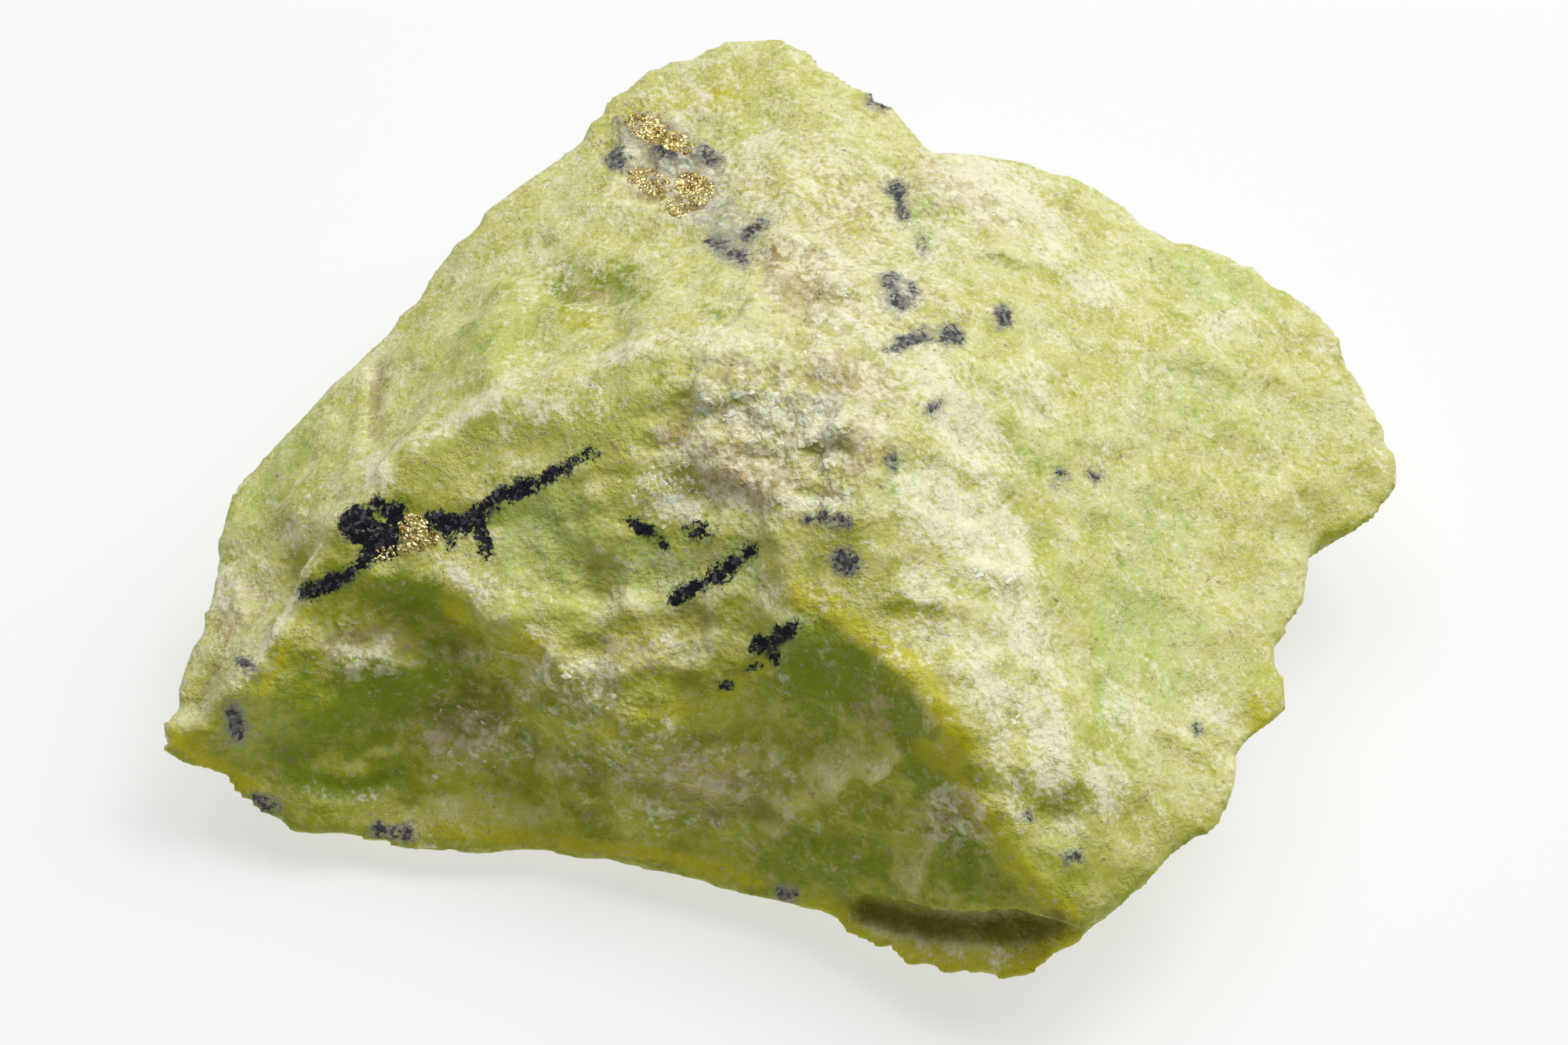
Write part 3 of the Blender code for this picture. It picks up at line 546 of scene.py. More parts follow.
class NodeSketch:
    """Lays out the nodes of one material, with sizes in millimetres."""

    def __init__(self, name: str) -> None:
        """Start an empty material."""
        self.material = bpy.data.materials.new(name)
        self.material.use_nodes = True
        self.tree = self.material.node_tree
        self.tree.nodes.clear()
        self.shader = self.tree.nodes.new("ShaderNodeBsdfPrincipled")
        output = self.tree.nodes.new("ShaderNodeOutputMaterial")
        self.tree.links.new(self.shader.outputs[0], output.inputs[0])
        self.place = self.tree.nodes.new("ShaderNodeTexCoord").outputs["Object"]

    def feed(self, socket: Socket, value: object) -> None:
        """Link a socket to another one, or set its value."""
        if isinstance(value, Socket):
            self.tree.links.new(value, socket)
        else:
            socket.default_value = value

    def shade(self, values: dict[str, object]) -> None:
        """Feed the shader's inputs by their names."""
        for name, value in values.items():
            self.feed(self.shader.inputs[name], value)

    def math(self, operation: str, first: object, second: object, clamp: bool = False) -> Socket:
        """One step of arithmetic on two values.

        Args:
            operation: Blender's name of it, such as ADD.
            first: A socket or number.
            second: A socket or number.
            clamp: Whether the result stays within 0 and 1.

        Returns:
            The result's socket.
        """
        node = self.tree.nodes.new("ShaderNodeMath")
        node.operation = operation
        node.use_clamp = clamp
        self.feed(node.inputs[0], first)
        self.feed(node.inputs[1], second)
        return node.outputs[0]

    def plus(self, first: object, second: object) -> Socket:
        """The sum of two values."""
        return self.math("ADD", first, second)

    def times(self, first: object, second: object, clamp: bool = False) -> Socket:
        """The product of two values."""
        return self.math("MULTIPLY", first, second, clamp)

    def swing(self, pattern: Socket, span: float) -> Socket:
        """A pattern that runs from 0 to 1, made to run over a span around 0."""
        return self.times(self.math("SUBTRACT", pattern, 0.5), span)

    def stretched(self, stretch: Triple, turn: Triple) -> Socket:
        """The place on the stone, turned and stretched so that a pattern runs in streaks."""
        node = self.tree.nodes.new("ShaderNodeMapping")
        node.vector_type = "TEXTURE"
        node.inputs["Rotation"].default_value = turn
        node.inputs["Scale"].default_value = stretch
        self.tree.links.new(self.place, node.inputs["Vector"])
        return node.outputs[0]

    def noise(self, pattern: Pattern, place: Socket | None = None) -> Socket:
        """Noise over the stone, no finer than the finest grain.

        Args:
            pattern: Its size and roughness.
            place: Coordinates other than the plain ones.

        Returns:
            A value from 0 to 1, mostly 0.3 to 0.7.
        """
        node = self.tree.nodes.new("ShaderNodeTexNoise")
        self.tree.links.new(place or self.place, node.inputs["Vector"])
        finest = max(1.0, math.log2(pattern.size / FINEST_GRAIN))
        node.inputs["Scale"].default_value = 1.0 / (pattern.size * MM)
        node.inputs["Detail"].default_value = min(pattern.detail, finest)
        node.inputs["Roughness"].default_value = pattern.roughness
        node.inputs["Distortion"].default_value = pattern.distortion
        return node.outputs["Fac"]

    def cells(self, size: float, output: str = "Distance") -> Socket:
        """Cells like packed grains: the distance from each one's middle, or its own colour."""
        node = self.tree.nodes.new("ShaderNodeTexVoronoi")
        self.tree.links.new(self.place, node.inputs["Vector"])
        node.inputs["Scale"].default_value = 1.0 / (size * MM)
        return node.outputs[output]

    def weight(self, name: str) -> Socket:
        """A number stored on the mesh's points."""
        node = self.tree.nodes.new("ShaderNodeAttribute")
        node.attribute_name = name
        return node.outputs["Fac"]

    def rise(self, value: Socket, low: float, high: float) -> Socket:
        """0 below low, 1 above high, with a smooth rise between. With low above high it falls."""
        node = self.tree.nodes.new("ShaderNodeMapRange")
        node.interpolation_type = "SMOOTHSTEP"
        self.feed(node.inputs["Value"], value)
        node.inputs["From Min"].default_value = min(low, high)
        node.inputs["From Max"].default_value = max(low, high)
        node.inputs["To Min"].default_value = 0.0 if low < high else 1.0
        node.inputs["To Max"].default_value = 1.0 if low < high else 0.0
        return node.outputs[0]

    def mix(self, share: object, under: object, over: object) -> Socket:
        """A mix of two colours, each a socket or a triple, with the second one's share."""
        node = self.tree.nodes.new("ShaderNodeMix")
        node.data_type = "RGBA"
        self.feed(node.inputs["Factor"], share)
        for socket, colour in ((node.inputs[6], under), (node.inputs[7], over)):
            self.feed(socket, colour if isinstance(colour, Socket) else (*colour, 1.0))
        return node.outputs[2]

    def coat(self, under: object, over: object, pattern: Socket, span: Spot, cover: object = 1.0) -> Socket:
        """One colour laid over another where a pattern allows it.

        Args:
            under: The colour below.
            over: The colour on top.
            pattern: Where it shows.
            span: The pattern's values where it starts to show and where it shows in full.
            cover: The top colour's share where it shows in full.

        Returns:
            The mixed colour's socket.
        """
        share = self.rise(pattern, *span)
        if isinstance(cover, Socket) or cover < 1.0:
            share = self.times(share, cover)
        return self.mix(share, under, over)

    def blotched(self, weight: Socket, pattern: Socket, pull: float, soft: float) -> Socket:
        """A patch's weight with a ragged edge: how far a pattern pulls it, and how soft it is."""
        return self.rise(self.plus(weight, self.swing(pattern, pull)), 0.5 - soft, 0.5 + soft)

    def bump(self, height: Socket, distance: float, strength: float = 1.0) -> Socket:
        """Fine relief.

        Args:
            height: The relief's height, from 0 to 1.
            distance: Millimetres that a height of 1 stands for.
            strength: How strongly it shows.

        Returns:
            The normal's socket.
        """
        node = self.tree.nodes.new("ShaderNodeBump")
        node.inputs["Strength"].default_value = strength
        node.inputs["Distance"].default_value = distance * MM
        self.tree.links.new(height, node.inputs["Height"])
        return node.outputs[0]


@dataclass(frozen=True)
class WaxySerpentine:
    """Translucent yellow-green stone with bloom, stains, grey host rock and black ore, and with painted
    light: shade on faces turned to the front and in hollows and pits, highlights on small tops and crests,
    and a glow along thin edges.
    """

    # Paints
    pale: Triple = (0.75, 0.73, 0.40)
    plain: Triple = (0.64, 0.64, 0.25)
    yellow: Triple = (0.55, 0.55, 0.13)
    green: Triple = (0.45, 0.58, 0.18)
    # Shaded copies of the paints for faces turned further to the front: painted shade, darker and more
    # saturated
    leaning: Triple = (0.53, 0.52, 0.085)
    leaning_pale: Triple = (0.64, 0.62, 0.24)
    front: Triple = (0.45, 0.48, 0.035)
    deep_green_and_shade: Triple = (0.19, 0.27, 0.0)
    deep_olive: Triple = (0.31, 0.34, 0.012)
    # Painted glow of light through thin edges
    amber_glow: Triple = (0.56, 0.51, 0.01)
    brown: Triple = (0.47, 0.37, 0.17)
    bloom: Triple = (0.90, 0.86, 0.66)
    slate: Triple = (0.36, 0.37, 0.30)
    rust: Triple = (0.26, 0.17, 0.06)
    lime: Triple = (0.50, 0.53, 0.10)
    # Painted shade in recesses
    hollow: Triple = (0.17, 0.15, 0.0)
    smoke: Triple = (0.055, 0.055, 0.062)
    smoke_rim: Triple = (0.26, 0.25, 0.21)
    ore: Triple = (0.006, 0.007, 0.014)
    ore_rim: Triple = (0.12, 0.17, 0.06)
    ore_glint: Triple = (0.085, 0.085, 0.11)
    ore_host: Triple = (0.22, 0.20, 0.13)

    # Noise that colours, edges and relief follow
    broad: Pattern = Pattern(3.4, 4.0, 0.6)
    clouds: Pattern = Pattern(1.3, 5.0, 0.65)
    flecks: Pattern = Pattern(0.24, 4.0, 0.8)
    mottle: Pattern = Pattern(0.7, 5.0, 0.75, 0.4)
    # Noise for the painted highlight on small tops and painted shade in pits
    cavity_shade_noise: Pattern = Pattern(0.45, 4.0, 0.7)
    ragged: Pattern = Pattern(1.1, 6.0, 0.72, 0.3)
    fine: Pattern = Pattern(0.45, 5.0, 0.8, 0.3)
    streaks: Pattern = Pattern(1.0, 5.0, 0.7)
    speckle: Pattern = Pattern(0.34, 4.0, 0.68)
    vein_wander: Pattern = Pattern(1.0, 3.0, 0.6)
    vein_fray: Pattern = Pattern(0.22, 4.0, 0.8)
    vein_host: Pattern = Pattern(0.36, 4.0, 0.75)
    dullness: Pattern = Pattern(0.6)
    sugared: Pattern = Pattern(1.6, 3.0)
    sugar: Pattern = Pattern(0.26, 4.0, 0.8)
    lumps: Pattern = Pattern(0.9, 5.0, 0.65)
    streak_stretch: Triple = (2.4, 1.0, 1.0)
    streak_turn: Triple = (0.0, math.radians(25), math.radians(-50))

    # Cells in millimetres
    crumb_cell: float = 0.42
    speck_cell: float = 0.22
    relief_cell: float = 0.36

    # How far noise moves an edge
    turn_wobble: float = 0.8
    # How far noise moves the edge between the painted highlight on tops and the painted shade in pits
    cavity_shade_wobble: float = 1.6
    vein_wobble: Spot = (1.4, 1.1)
    smoke_wobble: float = 0.9

    # Surface
    waxiness: float = 0.2
    light_depth: float = 0.7
    light_reach: Triple = (1.0, 0.95, 0.30)
    bending: float = 1.55
    sheen: float = 0.18
    smoothest: float = 0.40
    dulling: float = 0.224
    relief_height: float = 0.11

    def make(self) -> bpy.types.Material:
        """The stone's material."""
        sketch = NodeSketch("waxy_serpentine")
        rough = sketch.weight(Tint.ROUGH.value)
        colour = self.crumbled_and_cavity_shaded(sketch, self.tinted(sketch, self.ground(sketch)), rough)
        colour, ore = self.marked(sketch, colour)
        dull = sketch.times(sketch.plus(rough, sketch.noise(self.dullness)), self.dulling, clamp=True)
        sketch.shade({
            "Base Color": colour,
            "Roughness": sketch.plus(dull, self.smoothest),
            "Specular IOR Level": self.sheen,
            "IOR": self.bending,
            "Subsurface Weight": self.waxiness,
            "Subsurface Radius": self.light_reach,
            "Subsurface Scale": self.light_depth * MM,
            "Normal": self.relief(sketch, rough, ore),
        })
        return sketch.material

    def ground(self, sketch: NodeSketch) -> Socket:
        """The plain stone's mottled greens, with painted shade: darker and more saturated on faces turned
        further to the front.
        """
        broad = sketch.noise(self.broad)
        clouds = sketch.noise(self.clouds)
        flecks = sketch.noise(self.flecks)
        mottle = sketch.noise(self.mottle)
        level = sketch.coat(self.plain, self.yellow, broad, (0.43, 0.57))
        level = sketch.coat(level, self.pale, clouds, (0.44, 0.64), cover=0.65)
        level = sketch.coat(level, self.bloom, flecks, (0.50, 0.64), cover=0.40)
        # The painted shade for faces turned further to the front, in two steps
        middle = sketch.coat(self.leaning, self.leaning_pale, clouds, (0.40, 0.62))
        middle = sketch.coat(middle, self.pale, flecks, (0.50, 0.64), cover=0.25)
        front_shade = sketch.coat(self.deep_olive, self.front, broad, (0.42, 0.60))
        front_shade = sketch.coat(front_shade, self.leaning, clouds, (0.50, 0.66), cover=0.35)
        front_shade = sketch.coat(front_shade, self.leaning_pale, mottle, (0.50, 0.66), cover=0.55)
        front_shade = sketch.coat(front_shade, self.deep_green_and_shade, mottle, (0.46, 0.32), cover=0.45)
        # How far each face turns to the front sets how much of the painted shade it gets
        turned = sketch.plus(sketch.weight("lean"), sketch.swing(clouds, self.turn_wobble))
        colour = sketch.coat(level, middle, turned, (0.16, 0.46))
        return sketch.coat(colour, front_shade, turned, (0.50, 0.74))

    def tinted(self, sketch: NodeSketch, colour: Socket) -> Socket:
        """The tints laid over the plain stone, each with its own ragged edge.

        Args:
            sketch: The material's nodes.
            colour: The colour so far.

        Returns:
            The colour with the tints, and with less bloom on faces turned to the front, part of the painted
            shade there.
        """
        ragged = sketch.noise(self.ragged)
        fine = sketch.noise(self.fine)
        run = sketch.stretched(self.streak_stretch, self.streak_turn)
        streaks = sketch.plus(sketch.noise(self.streaks, run), sketch.noise(self.speckle))
        streaks = sketch.times(streaks, 0.5)
        # Faces turned to the front lose bloom, part of the painted shade there
        front_shade = sketch.rise(sketch.weight("lean"), 0.35, 0.75)
        # Each tint's paint, the noise at its edge, how far that pulls it, how soft it is, and its cover
        steps = (
            (Tint.LIME, self.lime, ragged, 2.0, 0.50, 0.8),
            (Tint.GREEN, self.green, ragged, 2.2, 0.50, 0.6),
            (Tint.DEEP_GREEN_AND_SHADE, self.deep_green_and_shade, ragged, 2.4, 0.40, 0.85),
            (Tint.AMBER_GLOW, self.amber_glow, ragged, 2.2, 0.40, 0.8),
            (Tint.BROWN, self.brown, fine, 3.2, 0.22, 0.85),
            (Tint.SLATE, self.slate, fine, 2.0, 0.30, 0.9),
            (Tint.BLOOM, self.bloom, streaks, 6.0, 0.50, 0.75),
            (Tint.RUST, self.rust, fine, 2.6, 0.25, 0.9),
            (Tint.HOLLOW_SHADE, self.hollow, ragged, 1.4, 0.50, 0.9),
        )
        for tint, paint, pattern, pull, soft, cover in steps:
            weight = sketch.weight(tint.value)
            if tint is Tint.BLOOM:
                weight = sketch.math("SUBTRACT", weight, sketch.times(front_shade, 0.6))
            share = sketch.blotched(weight, pattern, pull, soft)
            colour = sketch.mix(sketch.times(share, cover), colour, paint)
        return colour

    def crumbled_and_cavity_shaded(self, sketch: NodeSketch, colour: Socket, rough: Socket) -> Socket:
        """The colour with painted light on the small relief: paler on the raised tops, a painted highlight
        partly of pale dust, and darker in the small pits, painted shade.

        Args:
            sketch: The material's nodes.
            colour: The colour so far.
            rough: How crumbled the stone is.

        Returns:
            The colour, with single pale and brown grains where the stone crumbled, a painted highlight on the
            raised tops and painted shade in the pits.
        """
        grains = sketch.cells(self.crumb_cell, "Color")
        crumbled = sketch.times(sketch.rise(rough, 0.3, 0.9), 0.55)
        colour = sketch.coat(colour, self.bloom, grains, (0.60, 0.72), crumbled)
        colour = sketch.coat(colour, self.brown, grains, (0.40, 0.28), crumbled)
        # Painted highlight on the raised tops, partly pale dust, and painted shade in the pits, brown where
        # crumbled
        cavity_shade_noise = sketch.swing(sketch.noise(self.cavity_shade_noise), self.cavity_shade_wobble)
        level = sketch.plus(sketch.weight("raised"), cavity_shade_noise)
        colour = sketch.coat(colour, self.bloom, level, (0.58, 1.0), cover=0.35)
        pit_shade = sketch.mix(rough, self.deep_olive, self.brown)
        return sketch.coat(colour, pit_shade, level, (0.42, 0.0), cover=0.5)

    def marked(self, sketch: NodeSketch, colour: Socket) -> tuple[Socket, Socket]:
        """The grey spots and the black ore over the tints.

        Args:
            sketch: The material's nodes.
            colour: The colour so far.

        Returns:
            The colour and the ore's share.
        """
        wander = sketch.swing(sketch.noise(self.vein_wander), self.vein_wobble[0])
        fray = sketch.swing(sketch.noise(self.vein_fray), self.vein_wobble[1])
        edge = sketch.plus(wander, fray)
        specks = sketch.cells(self.speck_cell, "Color")
        smoke_gap = sketch.plus(sketch.weight("smoke"), sketch.times(edge, self.smoke_wobble))
        colour = sketch.coat(colour, self.smoke_rim, smoke_gap, (0.45, -0.05), cover=0.75)
        murk = sketch.coat(self.smoke, self.smoke_rim, specks, (0.3, 0.9))
        colour = sketch.coat(colour, murk, smoke_gap, (0.06, -0.12))
        ore_gap = sketch.plus(sketch.weight("ore"), edge)
        colour = sketch.coat(colour, self.ore_rim, ore_gap, (0.34, 0.0), cover=0.7)
        black = sketch.coat(self.ore, self.ore_glint, specks, (0.62, 0.95))
        black = sketch.coat(black, self.ore_host, sketch.noise(self.vein_host), (0.60, 0.68))
        ore = sketch.rise(ore_gap, 0.10, -0.06)
        return sketch.mix(ore, colour, black), ore

    def relief(self, sketch: NodeSketch, rough: Socket, ore: Socket) -> Socket:
        """The sugary grain of the stone, coarser where it crumbled.

        Args:
            sketch: The material's nodes.
            rough: How crumbled the stone is.
            ore: The black ore's share.

        Returns:
            The normal's socket.
        """
        sugared = sketch.plus(sketch.rise(sketch.noise(self.sugared), 0.38, 0.62), 0.4)
        sugar = sketch.times(sketch.noise(self.sugar), sugared)
        crumbs = sketch.times(sketch.cells(self.relief_cell), sketch.plus(rough, 0.25))
        height = sketch.plus(sketch.times(sketch.noise(self.lumps), 0.9), sugar)
        height = sketch.plus(height, sketch.times(crumbs, 1.1))
        height = sketch.plus(height, sketch.times(ore, 0.4))
        return sketch.bump(height, self.relief_height)


@dataclass(frozen=True)
class GrainFinish:
    """Small grains of two colours that change by noise. Sizes are in millimetres."""

    name: str
    first: Triple
    second: Triple
    shade: Pattern
    span: Spot
    smoothest: float
    dulling: float
    dullness: Pattern
    pitting: Pattern = Pattern(0.08, 2.0)
    pit_depth: float = 0.02
    pit_strength: float = 0.6
    metallic: float = 0.0
    waxiness: float = 0.0
    light_depth: float = 0.3
    stain: Triple | None = None
    stain_edge: Pattern = Pattern(0.5, 3.0, 0.7)

    def make(self) -> bpy.types.Material:
        """The grains' material."""
        sketch = NodeSketch(self.name)
        colour = sketch.coat(self.first, self.second, sketch.noise(self.shade), self.span)
        if self.stain:
            brown = sketch.weight(Tint.BROWN.value)
            stained = sketch.blotched(brown, sketch.noise(self.stain_edge), pull=1.2, soft=0.3)
            colour = sketch.mix(stained, colour, self.stain)
        sketch.shade({
            "Base Color": colour,
            "Metallic": self.metallic,
            "Roughness": sketch.plus(sketch.times(sketch.noise(self.dullness), self.dulling), self.smoothest),
            "Subsurface Weight": self.waxiness,
            "Subsurface Scale": self.light_depth * MM,
            "Normal": sketch.bump(sketch.noise(self.pitting), self.pit_depth, self.pit_strength),
        })
        return sketch.material


# Brassy metal, black ore with faint bluish glints, and sugary grains from cream to white and brown
BRASSY_SULPHIDE = GrainFinish(
    "brassy_sulphide", (0.95, 0.82, 0.40), (0.46, 0.33, 0.09), shade=Pattern(0.5, 2.0), span=(0.4, 0.62),
    smoothest=0.2, dulling=0.3, dullness=Pattern(0.2, 2.0), metallic=1.0,
)
BLACK_ORE = GrainFinish(
    "black_ore", (0.007, 0.008, 0.015), (0.05, 0.05, 0.07), shade=Pattern(0.2, 2.0), span=(0.5, 0.66),
    smoothest=0.35, dulling=0.3, dullness=Pattern(0.3, 2.0),
)
PALE_GRAIN = GrainFinish(
    "pale_grain", (0.80, 0.76, 0.50), (0.92, 0.87, 0.72), shade=Pattern(0.6, 3.0, 0.6), span=(0.42, 0.58),
    smoothest=0.5, dulling=0.2, dullness=Pattern(0.3, 2.0), pitting=Pattern(0.12, 3.0), pit_depth=0.03,
    waxiness=0.2, stain=(0.52, 0.41, 0.20),
)


@dataclass
class Stone:
    """The whole stone's outer surface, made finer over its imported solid. Sizes are in millimetres."""

    solid: bpy.types.Object
    marks: Marks = field(default_factory=Marks)
    finish: WaxySerpentine = field(default_factory=WaxySerpentine)
    weld: float = 0.001
    spacing: float = 0.29
    easing: float = 0.5
    easing_steps: int = 3
    soft_steps: int = 24
    crispness: float = 1.3
    crisp_limit: float = 0.35
    wave_size: float = 1.5
    wave_height: float = 0.05
    chip_size: float = 2.0
    chip_tilt: float = 0.10
    chip_hollow: float = 0.16
    chip_share: Spot = (0.25, 1.5)
    crumb_size: float = 1.2
    crumb_height: float = 0.42
    crumb_middle: float = 0.5
    crumb_waves: float = 0.5
    raised_span: float = 0.35
    foot_height: float = 0.35

    def build(self) -> bpy.types.Object:
        """The stone's mesh, dressed and riding on its body."""
        stone = self.refined()
        weights = self.marks.write(stone.data)
        self.roughen(stone.data, weights[Tint.ROUGH])
        stone.data.shade_smooth()
        stone.data.materials.append(self.finish.make())
        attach(stone, BODY)
        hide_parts(NODE)
        log.info("stone: %d faces", len(stone.data.polygons))
        return stone

    def refined(self) -> bpy.types.Object:
        """A copy of the solid with small, even faces, its facets eased away and its crests kept crisp."""
        mesh = self.solid.data.copy()
        mesh.materials.clear()
        welded = bmesh.new()
        welded.from_mesh(mesh)
        bmesh.ops.remove_doubles(welded, verts=welded.verts, dist=self.weld * MM)
        welded.to_mesh(mesh)
        welded.free()
        mesh.name = "stone"
        stone = placed("stone", mesh)
        remesh = stone.modifiers.new("even", "REMESH")
        remesh.mode = "VOXEL"
        remesh.voxel_size = self.spacing * MM
        ease = stone.modifiers.new("ease", "SMOOTH")
        ease.factor = self.easing
        fine = self.eased(stone, ease, self.easing_steps)
        soft = self.eased(stone, ease, self.soft_steps)
        points, _ = mesh_points(fine)
        crisp = self.crispness * (points - mesh_points(soft)[0])
        points += np.clip(crisp, -self.crisp_limit, self.crisp_limit)
        fine.vertices.foreach_set("co", (points * MM).ravel())
        fine.update()
        bpy.data.meshes.remove(soft)
        stone.modifiers.clear()
        for attribute in [a for a in fine.attributes if not (a.is_required or a.is_internal)]:
            fine.attributes.remove(attribute)
        stone.data = fine
        return stone

    @staticmethod
    def eased(stone: bpy.types.Object, ease: bpy.types.SmoothModifier, steps: int) -> bpy.types.Mesh:
        """The stone's evened mesh after a number of easing steps."""
        ease.iterations = steps
        return bpy.data.meshes.new_from_object(stone.evaluated_get(bpy.context.evaluated_depsgraph_get()))

    def chip(self, place: Vector) -> float:
        """Height in millimetres of small hollow shells, each tilted its own way, sharp between."""
        heights = []
        for distance, middle in zip(*noise.voronoi(place)):
            lean = noise.cell_vector(middle) * 2.0 - Vector((1.0, 1.0, 1.0))
            heights.append(self.chip_tilt * lean.dot(place - middle) + self.chip_hollow * distance * distance)
        return self.chip_size * min(heights)

    def roughen(self, mesh: bpy.types.Mesh, rough: np.ndarray) -> None:
        """Move the surface by its small waves, chips and crumbs, and store how raised each point is.

        Args:
            mesh: The stone's mesh.
            rough: How crumbled each point is.
        """
        points, normals = mesh_points(mesh)
        height = self.wave_height * waves(points, self.wave_size)
        chips = np.array([self.chip(Vector(point) / self.chip_size) for point in points])
        height += (self.chip_share[0] + self.chip_share[1] * rough) * chips
        away = np.array([noise.voronoi(Vector(point) / self.crumb_size)[0][0] for point in points])
        crumbs = self.crumb_middle - away + self.crumb_waves * waves(points, self.crumb_size, 3, shift=5.0)
        height += self.crumb_height * rough * crumbs
        # How raised each point is, from which the finish paints a highlight on tops and shade in pits
        put_attribute(mesh, "raised", np.clip(0.5 + (height - height.mean()) / self.raised_span, 0.0, 1.0))
        height *= smooth_step(points[:, 2], 0.0, self.foot_height)
        points = within_solid(points + normals * height[:, None])
        mesh.vertices.foreach_set("co", (points * MM).ravel())
        mesh.update()


@dataclass(frozen=True)
class Cluster:
    """A patch of grains: a middle across and up, its radii, how many grains it has and its tilt."""

    middle: Spot
    radii: Spot
    count: int
    tilt: float = 0.0


@dataclass
class Grains:
    """Small faceted grains, joined in one mesh and sunk in the stone's surface. Sizes are in millimetres."""

    name: str
    finish: GrainFinish
    seed: int
    smallest: float
    largest: float
    sunk: float
    flatness: float
    clusters: tuple[Cluster, ...] = ()
    veins: tuple[Vein, ...] = ()
    vein_density: float = 0.0
    vein_reach: float = 0.8
    vein_scatter: float = 0.55
    gathering: float = 0.6
    shrink: float = 0.7
    most_lean: float = 0.5
    unevenness: Spot = (0.72, 1.15)
    tints: tuple[Tint, ...] = ()

    def spots(self, draw: random.Random) -> list[Spot]:
        """Where the grains sit in the view plane.

        Args:
            draw: The seeded source of chance.

        Returns:
            Across and up of each grain.
        """
        found = []
        for cluster in self.clusters:
            turn = math.radians(cluster.tilt)
            for _ in range(cluster.count):
                angle = draw.uniform(0.0, 2.0 * math.pi)
                reach = draw.random() ** self.gathering
                along = cluster.radii[0] * reach * math.cos(angle)
                beside = cluster.radii[1] * reach * math.sin(angle)
                found.append((cluster.middle[0] + along * math.cos(turn) - beside * math.sin(turn),
                              cluster.middle[1] + along * math.sin(turn) + beside * math.cos(turn)))
        for vein in self.veins:
            spread = vein.half_width * self.vein_reach
            for start, end in zip(vein.points, vein.points[1:]):
                length = math.dist(start, end) + vein.half_width
                for _ in range(round(self.vein_density * length * vein.half_width)):
                    share = draw.random()
                    found.append(tuple(
                        near + share * (far - near) + draw.gauss(0.0, self.vein_scatter) * spread
                        for near, far in zip(start, end)))
        return found

    def build(self, stone: bpy.types.Object) -> bpy.types.Object:
        """The grains' mesh on the stone.

        Args:
            stone: The stone that they sit in.

        Returns:
            The joined grains, dressed and riding on the stone's body.
        """
        draw = random.Random(self.seed)
        tree = BVHTree.FromObject(stone, bpy.context.evaluated_depsgraph_get())
        joined = bmesh.new()
        for across, up in self.spots(draw):
            eye, direction = VIEW.ray_to(across, up)
            hit, normal, _, _ = tree.ray_cast(eye * MM, direction)
            size = draw.uniform(self.smallest, self.largest) * draw.uniform(self.shrink, 1.0)
            if hit is not None:
                self.add_grain(joined, draw, hit, normal, size * MM)
        mesh = bpy.data.meshes.new(self.name)
        joined.to_mesh(mesh)
        joined.free()
        points, _ = mesh_points(mesh)
        mesh.vertices.foreach_set("co", (within_solid(points) * MM).ravel())
        grains = placed(self.name, mesh)
        for tint in self.tints:
            put_attribute(mesh, tint.value, Marks().tint_weight(tint, VIEW.spots(points)))
        mesh.materials.append(self.finish.make())
        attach(grains, BODY)
        log.info("%s: %d faces", self.name, len(mesh.polygons))
        return grains

    def add_grain(self, joined: bmesh.types.BMesh, draw: random.Random, hit: Vector, normal: Vector,
                  size: float) -> None:
        """Add one uneven grain, part sunk in the surface.

        Args:
            joined: The mesh that all the grains share.
            draw: The seeded source of chance.
            hit: Where the grain sits, in metres.
            normal: The surface's direction there.
            size: The grain's width in metres.
        """
        made = bmesh.ops.create_icosphere(joined, subdivisions=1, radius=0.5)["verts"]
        turn = Matrix.Rotation(draw.uniform(0.0, 2.0 * math.pi), 3, "Z")
        lean = Matrix.Rotation(draw.uniform(-self.most_lean, self.most_lean), 3, "X")
        stand = normal.to_track_quat("Z", "Y").to_matrix()
        for vert in made:
            point = vert.co * draw.uniform(*self.unevenness)
            point.z *= self.flatness
            vert.co = hit + stand @ (lean @ turn @ point) * size - normal * (self.sunk * size)


# Gold-coloured grains, in their two nests
SULPHIDE_CLUSTERS = (
    Cluster((-6.7, 20.0), (1.5, 0.65), 330, -25),
    Cluster((-5.5, 19.4), (0.9, 0.5), 150, -20),
    Cluster((-4.6, 17.0), (1.0, 0.8), 330, -15),
    Cluster((-5.5, 16.0), (0.7, 0.4), 90, -20),
    Cluster((-6.9, 17.4), (1.1, 0.6), 150, -20),
    Cluster((-18.9, -0.3), (0.8, 0.7), 150, 0),
    Cluster((-18.5, -0.9), (0.9, 0.5), 110, 10),
    Cluster((-19.9, -1.5), (1.2, 0.4), 40, 15),
)

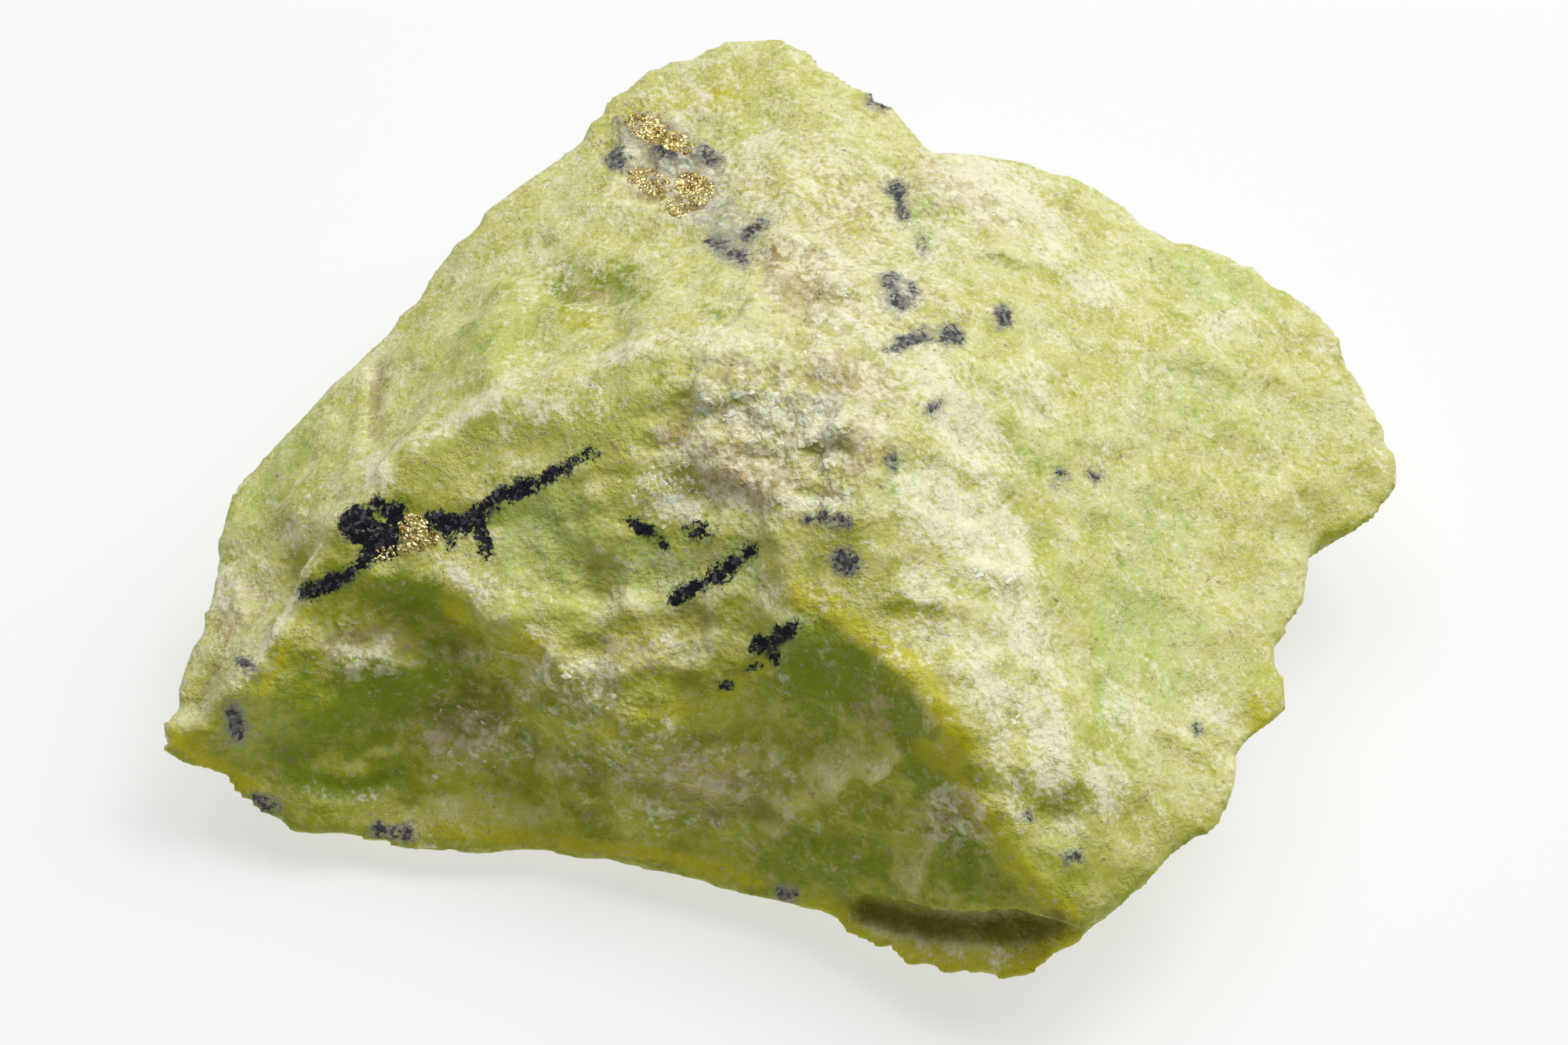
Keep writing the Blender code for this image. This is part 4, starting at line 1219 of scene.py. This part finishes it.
# Loose grains on the crumbled patches
CRUMB_CLUSTERS = (
    Cluster((-1.0, 5.4), (3.4, 1.8), 240, -12),
    Cluster((2.4, 5.2), (1.4, 2.2), 120, 0),
    Cluster((-5.8, 1.4), (2.0, 1.6), 130, 0),
    Cluster((-3.2, 2.2), (2.0, 1.4), 100, -20),
    Cluster((1.2, 1.0), (2.8, 0.7), 80, 4),
    Cluster((3.4, 8.2), (2.6, 1.6), 110, -20),
    Cluster((2.2, 12.4), (3.2, 2.2), 110, -25),
    Cluster((10.0, 17.0), (3.8, 1.6), 90, -25),
    Cluster((9.6, -0.6), (2.4, 4.6), 150, 25),
    Cluster((12.4, -9.6), (1.4, 4.0), 80, 15),
    Cluster((-10.4, -8.2), (2.6, 1.4), 25, -20),
    Cluster((-15.6, -10.8), (2.4, 1.6), 40, -20),
)


@dataclass(frozen=True)
class Softbox:
    """A soft lamp above the floor: its place, its size in metres and its power in watts."""

    place: tuple[float, float, float]
    size: tuple[float, float]
    power: float


@dataclass
class Studio:
    """A plain pale floor, soft lamps from above and behind, and the camera. Sizes are in metres."""

    view: ViewPlane = VIEW
    clip_start: float = 0.01
    floor_size: float = 8.0
    floor_drop: float = 0.00003
    floor_colour: Triple = (0.36, 0.36, 0.36)
    floor_glow: float = 0.585
    white: Triple = (1.0, 1.0, 1.0)
    sky: float = 0.16
    sky_seen: float = 0.9
    aim: Triple = (0.0, 0.0, 0.01)
    lamps: tuple[Softbox, ...] = (
        Softbox((-0.02, 0.25, 0.62), (0.60, 0.50), 2.35),
        Softbox((0.34, 0.18, 0.56), (0.45, 0.45), 2.8),
    )

    def build(self) -> None:
        """Make the floor, the light and the camera."""
        self.lay_floor()
        self.hang_lamps()
        self.fill_room()
        self.stand_camera()

    def lay_floor(self) -> None:
        """Lay a pale floor that glows a little, as a light table does."""
        corners = bmesh.new()
        bmesh.ops.create_grid(corners, x_segments=1, y_segments=1, size=self.floor_size / 2)
        mesh = bpy.data.meshes.new("floor")
        corners.to_mesh(mesh)
        corners.free()
        floor = placed("floor", mesh)
        floor.location.z = -self.floor_drop
        sketch = NodeSketch("pale_floor")
        sketch.shade({
            "Base Color": (*self.floor_colour, 1.0),
            "Roughness": 1.0,
            "Specular IOR Level": 0.0,
            "Emission Color": (*self.white, 1.0),
            "Emission Strength": self.floor_glow,
        })
        mesh.materials.append(sketch.material)

    def hang_lamps(self) -> None:
        """Hang the soft lamps, turned to the stone and out of the camera's sight."""
        for number, box in enumerate(self.lamps, start=1):
            lamp = bpy.data.lights.new(f"softbox_{number}", "AREA")
            lamp.shape = "RECTANGLE"
            lamp.size, lamp.size_y = box.size
            lamp.energy = box.power
            hung = placed(lamp.name, lamp)
            hung.location = box.place
            hung.rotation_euler = (Vector(self.aim) - Vector(box.place)).to_track_quat("-Z", "Y").to_euler()
            hung.visible_camera = False

    def fill_room(self) -> None:
        """Fill the room with pale light, brighter where the camera looks past the floor."""
        world = bpy.data.worlds.new("studio")
        world.use_nodes = True
        nodes = world.node_tree.nodes
        path = nodes.new("ShaderNodeLightPath")
        strength = nodes.new("ShaderNodeMapRange")
        strength.inputs["To Min"].default_value = self.sky
        strength.inputs["To Max"].default_value = self.sky_seen
        background = nodes.get("Background") or nodes.new("ShaderNodeBackground")
        background.inputs["Color"].default_value = (*self.white, 1.0)
        world.node_tree.links.new(path.outputs["Is Camera Ray"], strength.inputs["Value"])
        world.node_tree.links.new(strength.outputs[0], background.inputs["Strength"])
        bpy.context.scene.world = world

    def stand_camera(self) -> None:
        """Stand the camera where the photograph was taken from."""
        camera = bpy.data.cameras.new("camera")
        camera.sensor_width = self.view.sensor_width
        camera.lens = self.view.focal_length
        camera.clip_start = self.clip_start
        stand = placed("camera", camera)
        stand.location = Vector(self.view.eye()) * MM
        stand.rotation_euler = Vector(self.view.forward()).to_track_quat("-Z", "Y").to_euler()
        bpy.context.scene.camera = stand
        bpy.context.scene.view_settings.view_transform = "Standard"


def main() -> None:
    """Build the stone, its grains and the studio, and note the sizes."""
    logging.basicConfig(level=logging.INFO, format="%(message)s")
    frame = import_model()
    Studio().build()
    stone = Stone(solid=frame["nodes"][NODE]).build()
    for grains in (
        Grains("sulphide_grains", BRASSY_SULPHIDE, seed=3, smallest=0.11, largest=0.34, sunk=0.05,
               flatness=0.7, clusters=SULPHIDE_CLUSTERS),
        Grains("ore_grains", BLACK_ORE, seed=5, smallest=0.08, largest=0.28, sunk=0.28, flatness=0.6,
               veins=ORE, vein_density=12.0),
        Grains("crumbs", PALE_GRAIN, seed=7, smallest=0.25, largest=0.95, sunk=0.24, flatness=0.55,
               clusters=CRUMB_CLUSTERS, tints=(Tint.BROWN,)),
    ):
        grains.build(stone)


if __name__ == "__main__":
    main()
